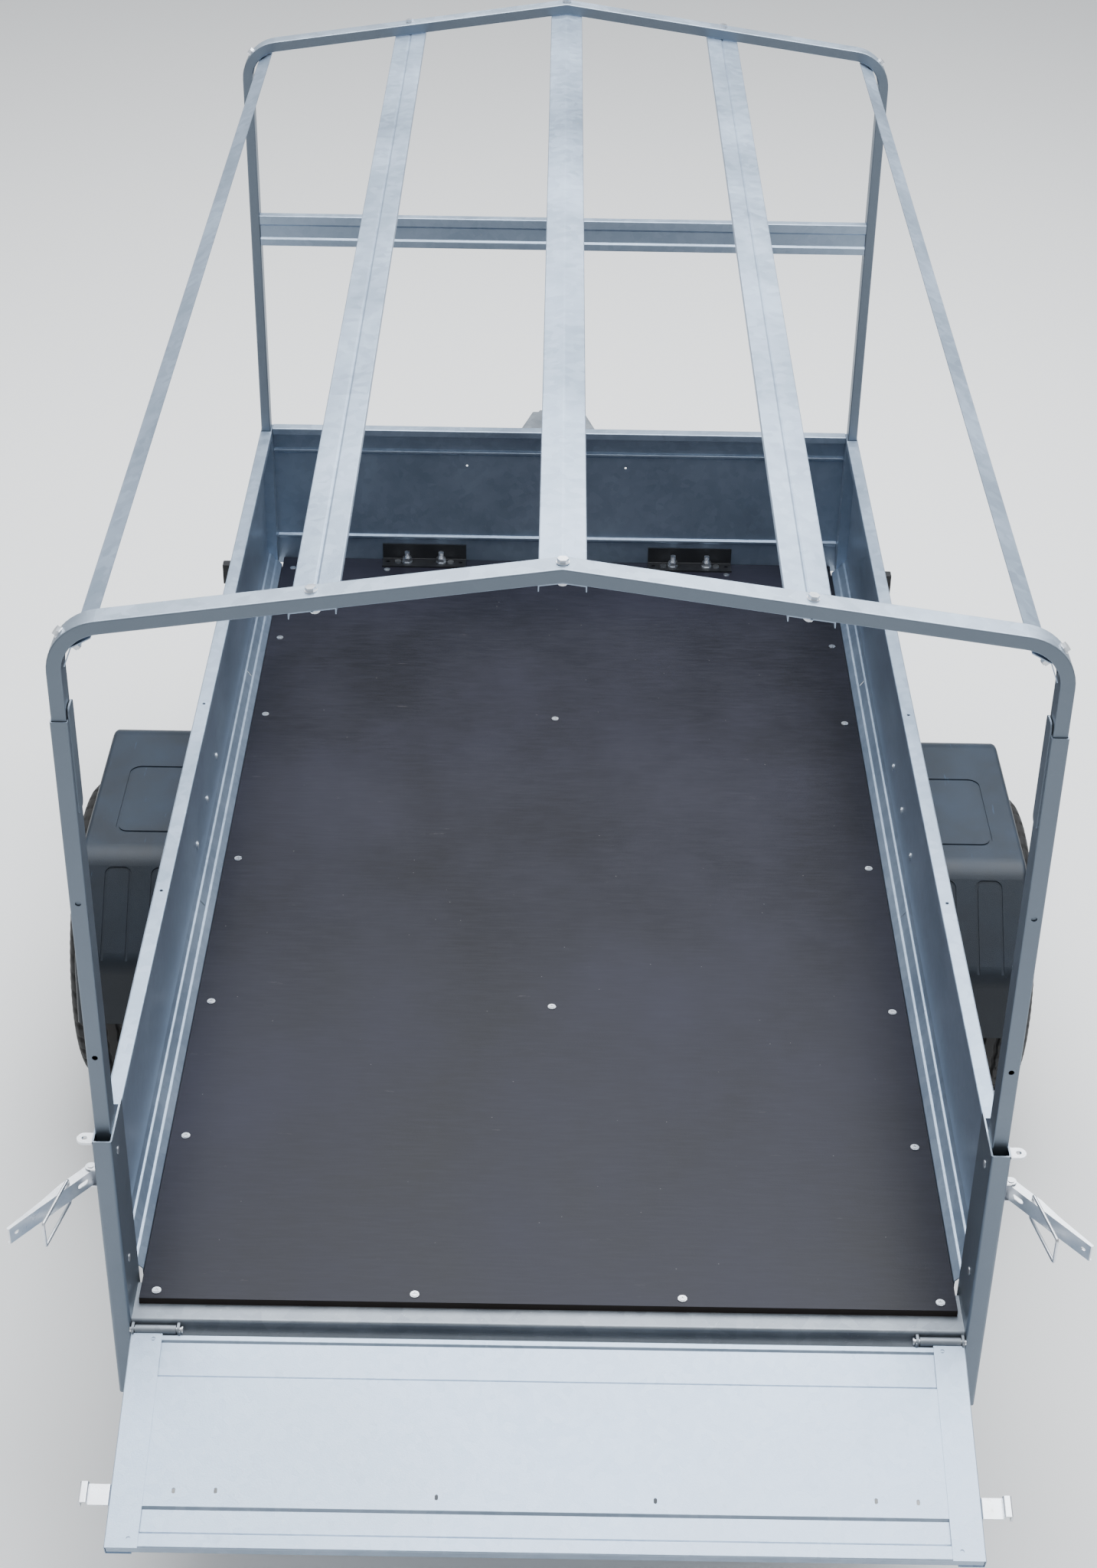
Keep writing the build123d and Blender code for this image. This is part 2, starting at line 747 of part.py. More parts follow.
with BuildPart() as drawbar_nose:
    with BuildSketch(across(nose_rear_y)) as tube:
        with Locations((0, arm_centre_z)):
            RectangleRounded(nose_width, arm_height, 5)
            RectangleRounded(nose_width - 8, arm_height - 8, 2.5, mode=Mode.SUBTRACT)
    extrude(tube.sketch, amount=-(nose_front_y - nose_rear_y))
    coupling_bolt_rows = (nose_front_y - 30, nose_front_y - 68)
    for y in coupling_bolt_rows:
        rod(at(-60, y, arm_centre_z, (1, 0, 0)), 6.2, 120, mode=Mode.SUBTRACT)
save(drawbar_nose, "drawbar_nose")

gusset_sheet = 5.0
prop_y = front_y + 95.0


def arm_inner(y):
    return arm_x(y) - arm_width / 2 / cos(lean) - 0.2


with BuildPart() as drawbar_plates:
    plate_half = arm_x(nose_rear_y) + arm_width / 2
    outline = [
        (-plate_half, nose_rear_y),
        (plate_half, nose_rear_y),
        (nose_half + 18, gusset_front_y),
        (-nose_half - 18, gusset_front_y),
    ]
    slab(level(arm_top), outline, gusset_sheet)
    slab(level(arm_bottom), outline, -gusset_sheet)
    ends = (prop_y - 35, prop_y + 35)
    bridge = [
        (-arm_inner(ends[0]), ends[0]),
        (arm_inner(ends[0]), ends[0]),
        (arm_inner(ends[1]), ends[1]),
        (-arm_inner(ends[1]), ends[1]),
    ]
    slab(level(arm_centre_z), bridge, gusset_sheet)
    for y in ends:
        inner = arm_inner(ends[1]) - 2
        block((-inner, inner), sorted((y, y + (4 if y < prop_y else -4))),
              (arm_centre_z - 18, arm_centre_z))
    leg_radius = 21.0
    sleeve_radius = leg_radius + 4
    rod(at(0, prop_y, arm_top, (0, 0, -1)), sleeve_radius + slip, 40, mode=Mode.SUBTRACT)
save(drawbar_plates, "drawbar_plates")

# ---------------------------------------------------------------- brackets and U-bolts
plate_top = deck + bracket_sheet
with BuildPart() as floor_clamp_brackets:
    for side in sides:
        fold(
            beside(side * drawbar_spread - bracket_length / 2),
            [
                (front_y - wall_sheet - bracket_leg, deck + bracket_sheet / 2),
                (front_y - wall_sheet - bracket_sheet / 2, deck + bracket_sheet / 2),
                (front_y - wall_sheet - bracket_sheet / 2, deck + bracket_leg),
            ],
            bracket_sheet,
            bracket_length,
            3.0,
        )
        for reach in (-1, 1):
            for offset in (60, 83):
                rod(
                    at(side * drawbar_spread + reach * offset, u_bolt_y, plate_top + 1, (0, 0, -1)),
                    3.4 if offset == 60 else 4.5,
                    8,
                    mode=Mode.SUBTRACT,
                )
    drill(u_bolt_holes, u_bolt_rod / 2 + slip, plate_top + 1, deck - 1)
save(floor_clamp_brackets, "floor_clamp_brackets")

bolt_rise = 30.0
with BuildPart() as drawbar_u_bolts:
    for side in sides:
        x = side * drawbar_spread
        low = arm_bottom - u_bolt_rod / 2 - 0.2
        with BuildLine(across(u_bolt_y)) as bend:
            FilletPolyline(
                (x - u_bolt_pitch / 2, deck + bolt_rise),
                (x - u_bolt_pitch / 2, low),
                (x + u_bolt_pitch / 2, low),
                (x + u_bolt_pitch / 2, deck + bolt_rise),
                radius=14,
            )
        with BuildSketch(at(x - u_bolt_pitch / 2, u_bolt_y, deck + bolt_rise, (0, 0, -1))) as bar:
            Circle(u_bolt_rod / 2)
        sweep(bar.sketch, path=bend.line)
save(drawbar_u_bolts, "drawbar_u_bolts")

with BuildPart() as clamp_nuts:
    for x, y in u_bolt_holes:
        top = at(x, y, plate_top, (0, 0, 1))
        rod(top, 12, 2.5)
        hexagon(top.offset(2.5), 18, 10)
        rod(top.offset(-1), u_bolt_rod / 2 + 0.05, 20, mode=Mode.SUBTRACT)
    for side in sides:
        for reach in (-1, 1):
            seat = at(side * drawbar_spread + reach * 60, u_bolt_y, plate_top, (0, 0, 1))
            rod(seat, 7.5, 2.2)
            rod(seat, 3.0, -(bracket_sheet + 9))
save(clamp_nuts, "clamp_nuts")

# ---------------------------------------------------------------- tailgate
# The tailgate's own plane: x is X, y runs from the hinge line to the free edge, and the
# normal is the face that carries the load when the tailgate is down.
gate_along = (0, -cos(droop), -sin(droop))
gate_up = (0, -sin(droop), cos(droop))


def gate_point(x, along, up):
    return (
        x,
        hinge_y + along * gate_along[1] + up * gate_up[1],
        hinge_z + along * gate_along[2] + up * gate_up[2],
    )


def gate_plane(x, along, up):
    """Plane in the tailgate's face: x is -X, y runs to the free edge, normal is up."""
    return Plane(origin=gate_point(x, along, up), x_dir=(-1, 0, 0), z_dir=gate_up)


def gate_section(x):
    """Plane of the tailgate's profile at x: x runs to the free edge, y is up, normal is -X."""
    return Plane(origin=gate_point(x, 0, 0), x_dir=gate_along, z_dir=(-1, 0, 0))


def gate_across(along):
    """Plane across the tailgate: x is X, y is up, normal runs to the free edge."""
    return Plane(origin=gate_point(0, along, 0), x_dir=(1, 0, 0), z_dir=gate_along)


gate_half = post_inner - 1
gate_start = 9.0  # first edge of the sheet from the hinge line
half_wall = wall_sheet / 2
field_drop = 3.0
gate_profile = [
    (gate_start, -tailgate_depth + 2),
    (gate_start, -half_wall),
    (gate_start + 8, -half_wall),
    (gate_start + 11, -half_wall - field_drop),
    (74, -half_wall - field_drop),
    (78, -half_wall),
    (282, -half_wall),
    (286, -half_wall - field_drop),
    (320, -half_wall - field_drop),
    (324, -half_wall),
    (tailgate_length - 2, -half_wall),
    (tailgate_length - 2, -tailgate_depth + half_wall + 1.4),
    (tailgate_length - 16, -tailgate_depth + half_wall + 1.4),
]
gate_hole_rows = ((159.0, 262), (480.0, 257), (541.0, 258))
with BuildPart() as tailgate_panel:
    fold(gate_section(gate_half - 2), gate_profile, wall_sheet, 2 * (gate_half - 2), 1.2)
    for side in sides:
        for x, along in gate_hole_rows:
            with BuildSketch(gate_plane(side * x, along, 1)) as slot:
                SlotOverall(9, 5, rotation=90)
            extrude(slot.sketch, amount=-6, mode=Mode.SUBTRACT)
save(tailgate_panel, "tailgate_panel")

cap_inner = gate_half - end_cap_width
cap_mid = cap_sheet / 2
cap_holes = ((gate_half - 35, gate_start + 7), (gate_half - 34, tailgate_length - 14))
with BuildPart() as tailgate_end_caps:
    fold(
        gate_across(gate_start - 2),
        [
            (cap_inner, cap_mid),
            (gate_half - cap_mid, cap_mid),
            (gate_half - cap_mid, -tailgate_depth + cap_mid),
            (cap_inner + 10, -tailgate_depth + cap_mid),
        ],
        cap_sheet,
        tailgate_length - gate_start + 2,
        1.0,
    )
    for x, along in cap_holes:
        rod(at(*gate_point(x, along, 3), gate_up), 3.2, -8, mode=Mode.SUBTRACT)
    mirror(about=Plane.YZ)
save(tailgate_end_caps, "tailgate_end_caps")

# Each hook is a strap under the end cap that comes up round its side and stands out past
# the rear post, where its fold takes the latch's bail from behind.
hook_sheet = 3.0
hook_mid = hook_sheet / 2
bail_radius = latch_bail_rod / 2
hook_fold = latch_bail_rod + 2.0 + hook_sheet  # middle line to middle line
hook_x = post_outer + 8.0  # middle of the fold, where the bail lies
hook_rise = 6.5
hook_start = hook_station - hook_width / 2
with BuildPart() as tailgate_hooks:
    fold(
        gate_across(hook_start),
        [
            (cap_inner + 14, -tailgate_depth - hook_mid),
            (gate_half + hook_mid + 0.1, -tailgate_depth - hook_mid),
            (gate_half + hook_mid + 0.1, -hook_mid - 1),
            (hook_x - hook_fold / 2, -hook_mid - 1),
            (hook_x - hook_fold / 2, hook_rise),
            (hook_x + hook_fold / 2, hook_rise),
            (hook_x + hook_fold / 2, -9),
        ],
        hook_sheet,
        hook_width,
        1.6,
    )
    mirror(about=Plane.YZ)
save(tailgate_hooks, "tailgate_hooks")

# Hinges: a tab folded round the pin under each end cap, between two ears on the rear beam.
pin_radius = hinge_pin / 2
tab_width = 62.0
tab_wall = 3.0
tab_x = gate_half - 6 - tab_width / 2
ear_sheet = 4.0
with BuildPart() as hinge_tabs:
    barrel = at(tab_x - tab_width / 2, hinge_y, hinge_z, (1, 0, 0))
    rod(barrel, pin_radius + tab_wall, tab_width)
    leaf = gate_section(tab_x + tab_width / 2)
    with BuildSketch(leaf) as strap:
        with Locations((gate_start + 26, -tailgate_depth - tab_wall / 2)):
            Rectangle(56, tab_wall)
    extrude(strap.sketch, amount=tab_width)
    with BuildSketch(leaf) as web:
        with BuildLine():
            Polyline(
                (0, -pin_radius - 0.4),
                (0, -pin_radius - tab_wall),
                (gate_start - 4, -tailgate_depth - tab_wall),
                (gate_start - 3, -tailgate_depth),
                close=True,
            )
        make_face()
    extrude(web.sketch, amount=tab_width)
    rod(barrel.offset(-1), pin_radius + running, tab_width + 2, mode=Mode.SUBTRACT)
    mirror(about=Plane.YZ)
save(hinge_tabs, "hinge_tabs")

ear_gap = 1.5
with BuildPart() as rear_crossmember:
    fold(
        beside(-rear_beam_half),
        channel(rear_beam_y, post_setback + 40, under_deck, 1),
        frame_sheet,
        2 * rear_beam_half,
        3.0,
    )
    drill(screw_points, screw_shank + slip, under_deck + 1, under_deck - 6)
    ear_starts = (tab_x - tab_width / 2 - ear_gap - ear_sheet, tab_x + tab_width / 2 + ear_gap)
    for x in (*ear_starts, *(-start - ear_sheet for start in ear_starts)):
        with BuildSketch(beside(x)) as ear:
            with Locations((hinge_y, hinge_z)):
                Circle(pin_radius + tab_wall)
            with BuildLine():
                Polyline(
                    (hinge_y, hinge_z + pin_radius + tab_wall),
                    (rear_beam_y, hinge_z + pin_radius + tab_wall),
                    (rear_beam_y, hinge_z - 26),
                    (hinge_y - 1, hinge_z - pin_radius - tab_wall),
                    close=True,
                )
            make_face()
            with Locations((hinge_y, hinge_z)):
                Circle(pin_radius + running, mode=Mode.SUBTRACT)
        extrude(ear.sketch, amount=ear_sheet)
save(rear_crossmember, "rear_crossmember")

# ---------------------------------------------------------------- latches
# An over-centre lever swings on each rear post about an upright pin and carries a wire
# bail, which reaches back to the tailgate's hook when both are closed.
latch_x = post_outer + latch_pivot_offset
latch_y = rear_y + latch_pivot_station
latch_z = hinge_z + hook_station
latch_pin = 3.0
base_sheet = 2.5
lever_sheet = 1.5
lever_half = latch_web / 2
lever_depth = 12.0
base_gap = 0.5
pin_head = 1.2
base_ear_z = lever_half + base_gap  # inner face of a base ear from the latch's middle
with BuildPart() as latch_bases:
    block(
        (post_outer, post_outer + base_sheet),
        (latch_y - 21, latch_y + 21),
        (latch_z - 20, latch_z + 20),
    )
    for low in (latch_z + base_ear_z, latch_z - base_ear_z - base_sheet):
        with BuildSketch(level(low)) as ear:
            with Locations((latch_x, latch_y)):
                Circle(8)
            with Locations(((post_outer + latch_x) / 2, latch_y)):
                Rectangle(latch_x - post_outer, 16)
            with Locations((latch_x, latch_y)):
                Circle(latch_pin + running, mode=Mode.SUBTRACT)
        extrude(ear.sketch, amount=base_sheet)
    mirror(about=Plane.YZ)
save(latch_bases, "latch_bases")

swing = radians(latch_swing)
lever_along = (sin(swing), cos(swing), 0)
lever_inward = (-cos(swing), sin(swing), 0)  # towards the wall once the lever is closed


def lever_point(along, inward, z):
    return (
        latch_x + along * lever_along[0] + inward * lever_inward[0],
        latch_y + along * lever_along[1] + inward * lever_inward[1],
        z,
    )


def lever_level(z):
    """Level plane on the lever's pivot: x runs along the lever, y to its open side."""
    return Plane(origin=(latch_x, latch_y, z), x_dir=lever_along, z_dir=(0, 0, 1))


lever_back = -lever_depth / 2
with BuildPart() as latch_lever:
    with BuildSketch(lever_level(latch_z - lever_half)) as body:
        with BuildLine():
            Polyline(
                (-9, lever_back),
                (latch_length, lever_back),
                (latch_length, lever_back + 5),
                (latch_length - 70, lever_back + lever_depth - 3),
                (latch_bail_pivot + 9, -lever_back + 2),
                (-7, -lever_back + 2),
                (-9, -lever_back),
                close=True,
            )
        make_face()
    extrude(body.sketch, amount=latch_web)
    fillet(
        latch_lever.edges().filter_by(Axis.Z).sort_by_distance(lever_point(latch_length, 0, latch_z))[:2],
        2.0,
    )
    with BuildSketch(lever_level(latch_z - lever_half + lever_sheet)) as hollow:
        with Locations((latch_length / 2, lever_back + lever_sheet + 15)):
            Rectangle(latch_length + 60, 30)
    extrude(hollow.sketch, amount=latch_web - 2 * lever_sheet, mode=Mode.SUBTRACT)
    for along, radius in ((0, latch_pin), (latch_bail_pivot, bail_radius)):
        rod(
            at(*lever_point(along, 0, latch_z - 20), (0, 0, 1)),
            radius + running,
            40,
            mode=Mode.SUBTRACT,
        )
    web_face = Plane(
        origin=lever_point(0, lever_back - 1, latch_z), x_dir=lever_along, z_dir=lever_inward
    )
    with BuildSketch(web_face) as slots:
        with Locations((22, 0)):
            SlotOverall(20, 9)
        with Locations((latch_length - 14, 0)):
            SlotOverall(8, 5)
    extrude(slots.sketch, amount=4, mode=Mode.SUBTRACT)
save_pair(latch_lever, "latch_lever")

# The bail's length is what spans from its pivot on the closed lever to the closed hook.
closed_hook = (hook_x, hinge_y + hook_rise - hook_mid - bail_radius - seat_gap)
closed_pivot = (latch_x, latch_y + latch_bail_pivot)
bail_length = hypot(closed_hook[0] - closed_pivot[0], closed_hook[1] - closed_pivot[1])
bail_rest = radians(168)
bail_half = base_ear_z + base_sheet + pin_head + bail_radius + 0.8
bail_along = (sin(bail_rest), cos(bail_rest), 0)
with BuildPart() as latch_bail:
    pivot = lever_point(latch_bail_pivot, 0, latch_z)
    loop_plane = Plane(origin=pivot, x_dir=bail_along, z_dir=(bail_along[1], -bail_along[0], 0))
    stub = lever_half - lever_sheet - 1.5
    lift = 1 if loop_plane.y_dir.Z > 0 else -1
    with BuildLine(loop_plane) as wire:
        FilletPolyline(
            (0, stub),
            (0, bail_half),
            (bail_length, bail_half),
            (bail_length, -bail_half),
            (0, -bail_half),
            (0, -stub),
            radius=3.4,
        )
    with BuildSketch(at(pivot[0], pivot[1], latch_z + lift * stub, (0, 0, lift))) as bar:
        Circle(bail_radius)
    sweep(bar.sketch, path=wire.line)
save_pair(latch_bail, "latch_bail")

eye_y = post_rear_y + 12
with BuildPart() as tie_eyes:
    with BuildSketch(level(post_top - 6)) as eye:
        with Locations((post_outer + 12, eye_y)):
            Circle(11)
        with Locations((post_outer + 6, eye_y)):
            Rectangle(12, 22)
        with Locations((post_outer + 12, eye_y)):
            Circle(4.2, mode=Mode.SUBTRACT)
    extrude(eye.sketch, amount=4)
    mirror(about=Plane.YZ)
save(tie_eyes, "tie_eyes")

# ---------------------------------------------------------------- axle and swing arms
beam_half = post_outer + 18
spindle_x = wheel_offset + hub_face_offset  # rim's seat
arm_plate = 14.0
arm_x_in = beam_half + 6
with BuildPart() as axle_beam:
    with BuildSketch(beside(-beam_half)) as tube:
        with Locations((axle_beam_y, axle_z)):
            RectangleRounded(axle_tube, axle_tube, 6)
            RectangleRounded(axle_tube - 2 * axle_wall, axle_tube - 2 * axle_wall, 3, mode=Mode.SUBTRACT)
    extrude(tube.sketch, amount=2 * beam_half)
    pad_x = arm_x(pad_centre_y)
    for side in sides:
        block(
            (side * pad_x - 34, side * pad_x + 34),
            (pad_centre_y - 72, pad_centre_y + 72),
            (arm_bottom - pad_sheet, arm_bottom),
        )
        for end in (-34, 30):
            block(
                (side * pad_x + end, side * pad_x + end + 4),
                (pad_centre_y - 66, pad_centre_y + 66),
                (axle_z - axle_tube / 2, arm_bottom - pad_sheet + 1),
            )
    drill(pad_bolt_points, pad_bolt / 2 + slip, arm_bottom + 1, arm_bottom - pad_sheet - 1)
save(axle_beam, "axle_beam")

# The swing arm's short shaft turns in the rubber inside the axle tube.
stub_radius = 20.0
reach = swing_arm
with BuildPart() as swing_arm_part:
    with BuildSketch(beside(arm_x_in)) as plate:
        with Locations((axle_beam_y, axle_z)):
            Circle(34)
        with Locations((axle_y, wheel_radius)):
            Circle(27)
        with BuildLine():
            run_y = axle_y - axle_beam_y
            run_z = wheel_radius - axle_z
            slope_y = -run_z / reach
            slope_z = run_y / reach
            Polyline(
                (axle_beam_y + 32 * slope_y, axle_z + 32 * slope_z),
                (axle_beam_y - 32 * slope_y, axle_z - 32 * slope_z),
                (axle_y - 25 * slope_y, wheel_radius - 25 * slope_z),
                (axle_y + 25 * slope_y, wheel_radius + 25 * slope_z),
                close=True,
            )
        make_face()
    extrude(plate.sketch, amount=arm_plate)
    fillet(swing_arm_part.edges().group_by(Axis.X)[-1], 3.0)
    rod(at(arm_x_in, axle_beam_y, axle_z, (-1, 0, 0)), stub_radius, 70)
    spindle = at(arm_x_in + arm_plate - 2, axle_y, wheel_radius, (1, 0, 0))
    rod(spindle, 22, spindle_x - 66 - arm_x_in - arm_plate)
    rod(spindle, 15, spindle_x + 2 - arm_x_in - arm_plate)
    hexagon(at(spindle_x - 6, axle_y, wheel_radius, (1, 0, 0)), 30, 8)
save_pair(swing_arm_part, "swing_arm")

# Rubber sleeves hold each stub shaft in the square tube.
rubber_start = beam_half - 60
with BuildPart() as axle_rubbers:
    half_bore = axle_tube / 2 - axle_wall - 0.3
    with BuildSketch(beside(rubber_start)) as ring:
        with Locations((axle_beam_y, axle_z)):
            RectangleRounded(2 * half_bore, 2 * half_bore, 3)
            Circle(stub_radius + seat_gap, mode=Mode.SUBTRACT)
    extrude(ring.sketch, amount=58)
    mirror(about=Plane.YZ)
save(axle_rubbers, "axle_rubbers")

# ---------------------------------------------------------------- wheels
wheel_centre = (0, axle_y, wheel_radius)
hub_radius = 34.0
bearing_bore = 15.0 + running
hub_back = spindle_x - 58
cap_back = spindle_x + 6.05
# Local plane of a wheel's half section: x runs outboard along the axis, y is the radius.
half_section = Plane(origin=wheel_centre, x_dir=(1, 0, 0), z_dir=(0, -1, 0))
wheel_axis = Axis(wheel_centre, (1, 0, 0))


def bolt_ring(count=4):
    turns = [2 * pi * (i + 0.5) / count for i in range(count)]
    radius = bolt_circle / 2
    return [(axle_y + radius * cos(t), wheel_radius + radius * sin(t)) for t in turns]


with BuildPart() as hub:
    with BuildSketch(half_section) as profile:
        with BuildLine():
            Polyline(
                (hub_back, bearing_bore),
                (spindle_x - 8, bearing_bore),
                (spindle_x - 8, 19),
                (spindle_x + 6, 19),
                (spindle_x + 6, 28),
                (spindle_x, 29),
                (spindle_x, 66),
                (spindle_x - 9, 66),
                (spindle_x - 12, hub_radius + 4),
                (hub_back, hub_radius - 2),
                close=True,
            )
        make_face()
    revolve(profile.sketch, axis=wheel_axis)
    for y, z in bolt_ring():
        rod(at(spindle_x - 20, y, z, (1, 0, 0)), 6.1, 30, mode=Mode.SUBTRACT)
    with BuildSketch(half_section) as cap:  # pressed cap on the hub's outer end
        with BuildLine():
            Polyline(
                (cap_back, 0),
                (cap_back, 27.8),
                (spindle_x + 22, 26),
                (spindle_x + 28, 20),
                (spindle_x + 31, 10),
                (spindle_x + 32, 0),
                close=True,
            )
        make_face()
    revolve(cap.sketch, axis=wheel_axis)
save_pair(hub, "wheel_hub")

rim_half = 62.0
rim_sheet = 3.5
with BuildPart() as rim:
    barrel = [
        (wheel_offset - rim_half, rim_radius + 15),
        (wheel_offset - rim_half + 1, rim_radius + 2),
        (wheel_offset - rim_half + 30, rim_radius - 3),
        (wheel_offset - rim_half + 42, rim_radius - 22),
        (wheel_offset + 12, rim_radius - 22),
        (wheel_offset + 26, rim_radius - 3),
        (wheel_offset + rim_half - 1, rim_radius + 2),
        (wheel_offset + rim_half, rim_radius + 15),
    ]
    with BuildSketch(half_section) as profile:
        with BuildLine():
            FilletPolyline(*barrel, radius=4)
        trace(line_width=rim_sheet)
    revolve(profile.sketch, axis=wheel_axis)
    dish = [
        (spindle_x + 2, 33),
        (spindle_x + 2, 64),
        (spindle_x + 16, 78),
        (spindle_x + 14, 110),
        (wheel_offset + 19, rim_radius - 25.2),
        (wheel_offset, rim_radius - 24.6),
    ]
    with BuildSketch(half_section) as disc:
        with BuildLine():
            FilletPolyline(*dish, radius=5)
        trace(line_width=4)
    revolve(disc.sketch, axis=wheel_axis)
    for i in range(10):
        turn = 2 * pi * i / 10
        window = at(
            spindle_x - 20, axle_y + 102 * cos(turn), wheel_radius + 102 * sin(turn), (1, 0, 0)
        )
        rod(window, 11, 50, mode=Mode.SUBTRACT)
    for y, z in bolt_ring():
        rod(at(spindle_x - 5, y, z, (1, 0, 0)), 6.6, 12, mode=Mode.SUBTRACT)
save_pair(rim, "rim")

with BuildPart() as wheel_bolts:
    for y, z in bolt_ring():
        seat = at(spindle_x + 4, y, z, (1, 0, 0))
        with BuildSketch(seat) as cone:
            Circle(10)
        with BuildSketch(seat.offset(4)) as collar:
            Circle(11)
        loft([cone.sketch, collar.sketch])
        hexagon(seat.offset(4), 17, 9)
        rod(seat, 6.0, -22)
save_pair(wheel_bolts, "wheel_bolts")

# The tyre's section: beads on the rim, bulged walls, a nearly flat tread with four grooves.
tyre_half = tyre_width / 2
bead_half = rim_half - 1 - rim_sheet / 2 - 0.5
tread_half = 0.40 * tyre_width
groove_depth = 6.0
with BuildPart() as tyre:
    with BuildSketch(half_section) as profile:
        with BuildLine():
            Polyline(
                (wheel_offset - bead_half + 12, rim_radius + 2.1),
                (wheel_offset - bead_half + 3, rim_radius + 4.1),
                (wheel_offset - bead_half, rim_radius + 7),
                (wheel_offset - bead_half, rim_radius + 19),
            )
            ThreePointArc(
                (wheel_offset - bead_half, rim_radius + 19),
                (wheel_offset - tyre_half, rim_radius + 60),
                (wheel_offset - tread_half - 4, wheel_radius - 12),
            )
            ThreePointArc(
                (wheel_offset - tread_half - 4, wheel_radius - 12),
                (wheel_offset - tread_half + 1, wheel_radius - 6.5),
                (wheel_offset - tread_half + 8, wheel_radius - 4),
            )
            ThreePointArc(
                (wheel_offset - tread_half + 8, wheel_radius - 4),
                (wheel_offset, wheel_radius),
                (wheel_offset + tread_half - 8, wheel_radius - 4),
            )
            ThreePointArc(
                (wheel_offset + tread_half - 8, wheel_radius - 4),
                (wheel_offset + tread_half - 1, wheel_radius - 6.5),
                (wheel_offset + tread_half + 4, wheel_radius - 12),
            )
            ThreePointArc(
                (wheel_offset + tread_half + 4, wheel_radius - 12),
                (wheel_offset + tyre_half, rim_radius + 60),
                (wheel_offset + bead_half, rim_radius + 19),
            )
            Polyline(
                (wheel_offset + bead_half, rim_radius + 19),
                (wheel_offset + bead_half, rim_radius + 7),
                (wheel_offset + bead_half - 3, rim_radius + 4.1),
                (wheel_offset + bead_half - 12, rim_radius + 2.1),
                (wheel_offset + bead_half - 14, rim_radius + 24),
            )
            ThreePointArc(
                (wheel_offset + bead_half - 14, rim_radius + 24),
                (wheel_offset + tyre_half - 9, rim_radius + 62),
                (wheel_offset + tread_half - 8, wheel_radius - 15),
            )
            Line(
                (wheel_offset + tread_half - 8, wheel_radius - 15),
                (wheel_offset - tread_half + 8, wheel_radius - 15),
            )
            ThreePointArc(
                (wheel_offset - tread_half + 8, wheel_radius - 15),
                (wheel_offset - tyre_half + 9, rim_radius + 62),
                (wheel_offset - bead_half + 14, rim_radius + 24),
            )
            Line(
                (wheel_offset - bead_half + 14, rim_radius + 24),
                (wheel_offset - bead_half + 12, rim_radius + 2.1),
            )
        make_face()
        for groove in (-36, -13, 13, 36):
            with Locations((wheel_offset + groove, wheel_radius - groove_depth / 2 + 1)):
                Rectangle(7, groove_depth + 4, mode=Mode.SUBTRACT)
    revolve(profile.sketch, axis=wheel_axis)
save_pair(tyre, "tyre")

# ---------------------------------------------------------------- fenders
fender_stand = 3.0  # length of the spacers between a wall and its fender
fender_inner = wall_outer + fender_stand
fender_top = deck + fender_level
flat_half = fender_flat / 2
# Top line of the fender from its rear end to its front end, as y from the axle and z.
fender_line = [
    (-flat_half - 172, deck - 130),
    (-flat_half - 150, deck - 10),
    (-flat_half, fender_top),
    (flat_half, fender_top),
    (flat_half + 150, deck - 10),
    (flat_half + 172, deck - 130),
]


def fender_band(low, high, x, mode, bend):
    """Band between two depths under the fender's top line, across x."""
    middle = offset_line(fender_line, (low + high) / 2)
    with BuildSketch(beside(x[0])) as band:
        with BuildLine():
            FilletPolyline(*[(axle_y + y, z) for y, z in middle], radius=bend)
        trace(line_width=high - low)
    extrude(band.sketch, amount=x[1] - x[0], mode=mode)


def fender_depth(edge):
    """How far an edge's middle lies under the fender's top line, by its nearest straight."""
    point = edge @ 0.5
    depths = []
    for (y0, z0), (y1, z1) in zip(fender_line, fender_line[1:]):
        run = hypot(y1 - y0, z1 - z0)
        depths.append(abs((point.Y - axle_y - y0) * (z1 - z0) - (point.Z - z0) * (y1 - y0)) / run)
    return min(depths)


def slope_plane(end):
    """Plane on a slope of the fender: y runs up it, the normal is outward, x is -X in front."""
    (y0, z0), (y1, z1) = fender_line[1], fender_line[2]
    run = hypot(y1 - y0, z1 - z0)
    origin = (0, axle_y - end * y0, z0)
    return Plane(origin=origin, x_dir=(-end, 0, 0), z_dir=(0, end * (z1 - z0) / run, (y1 - y0) / run))


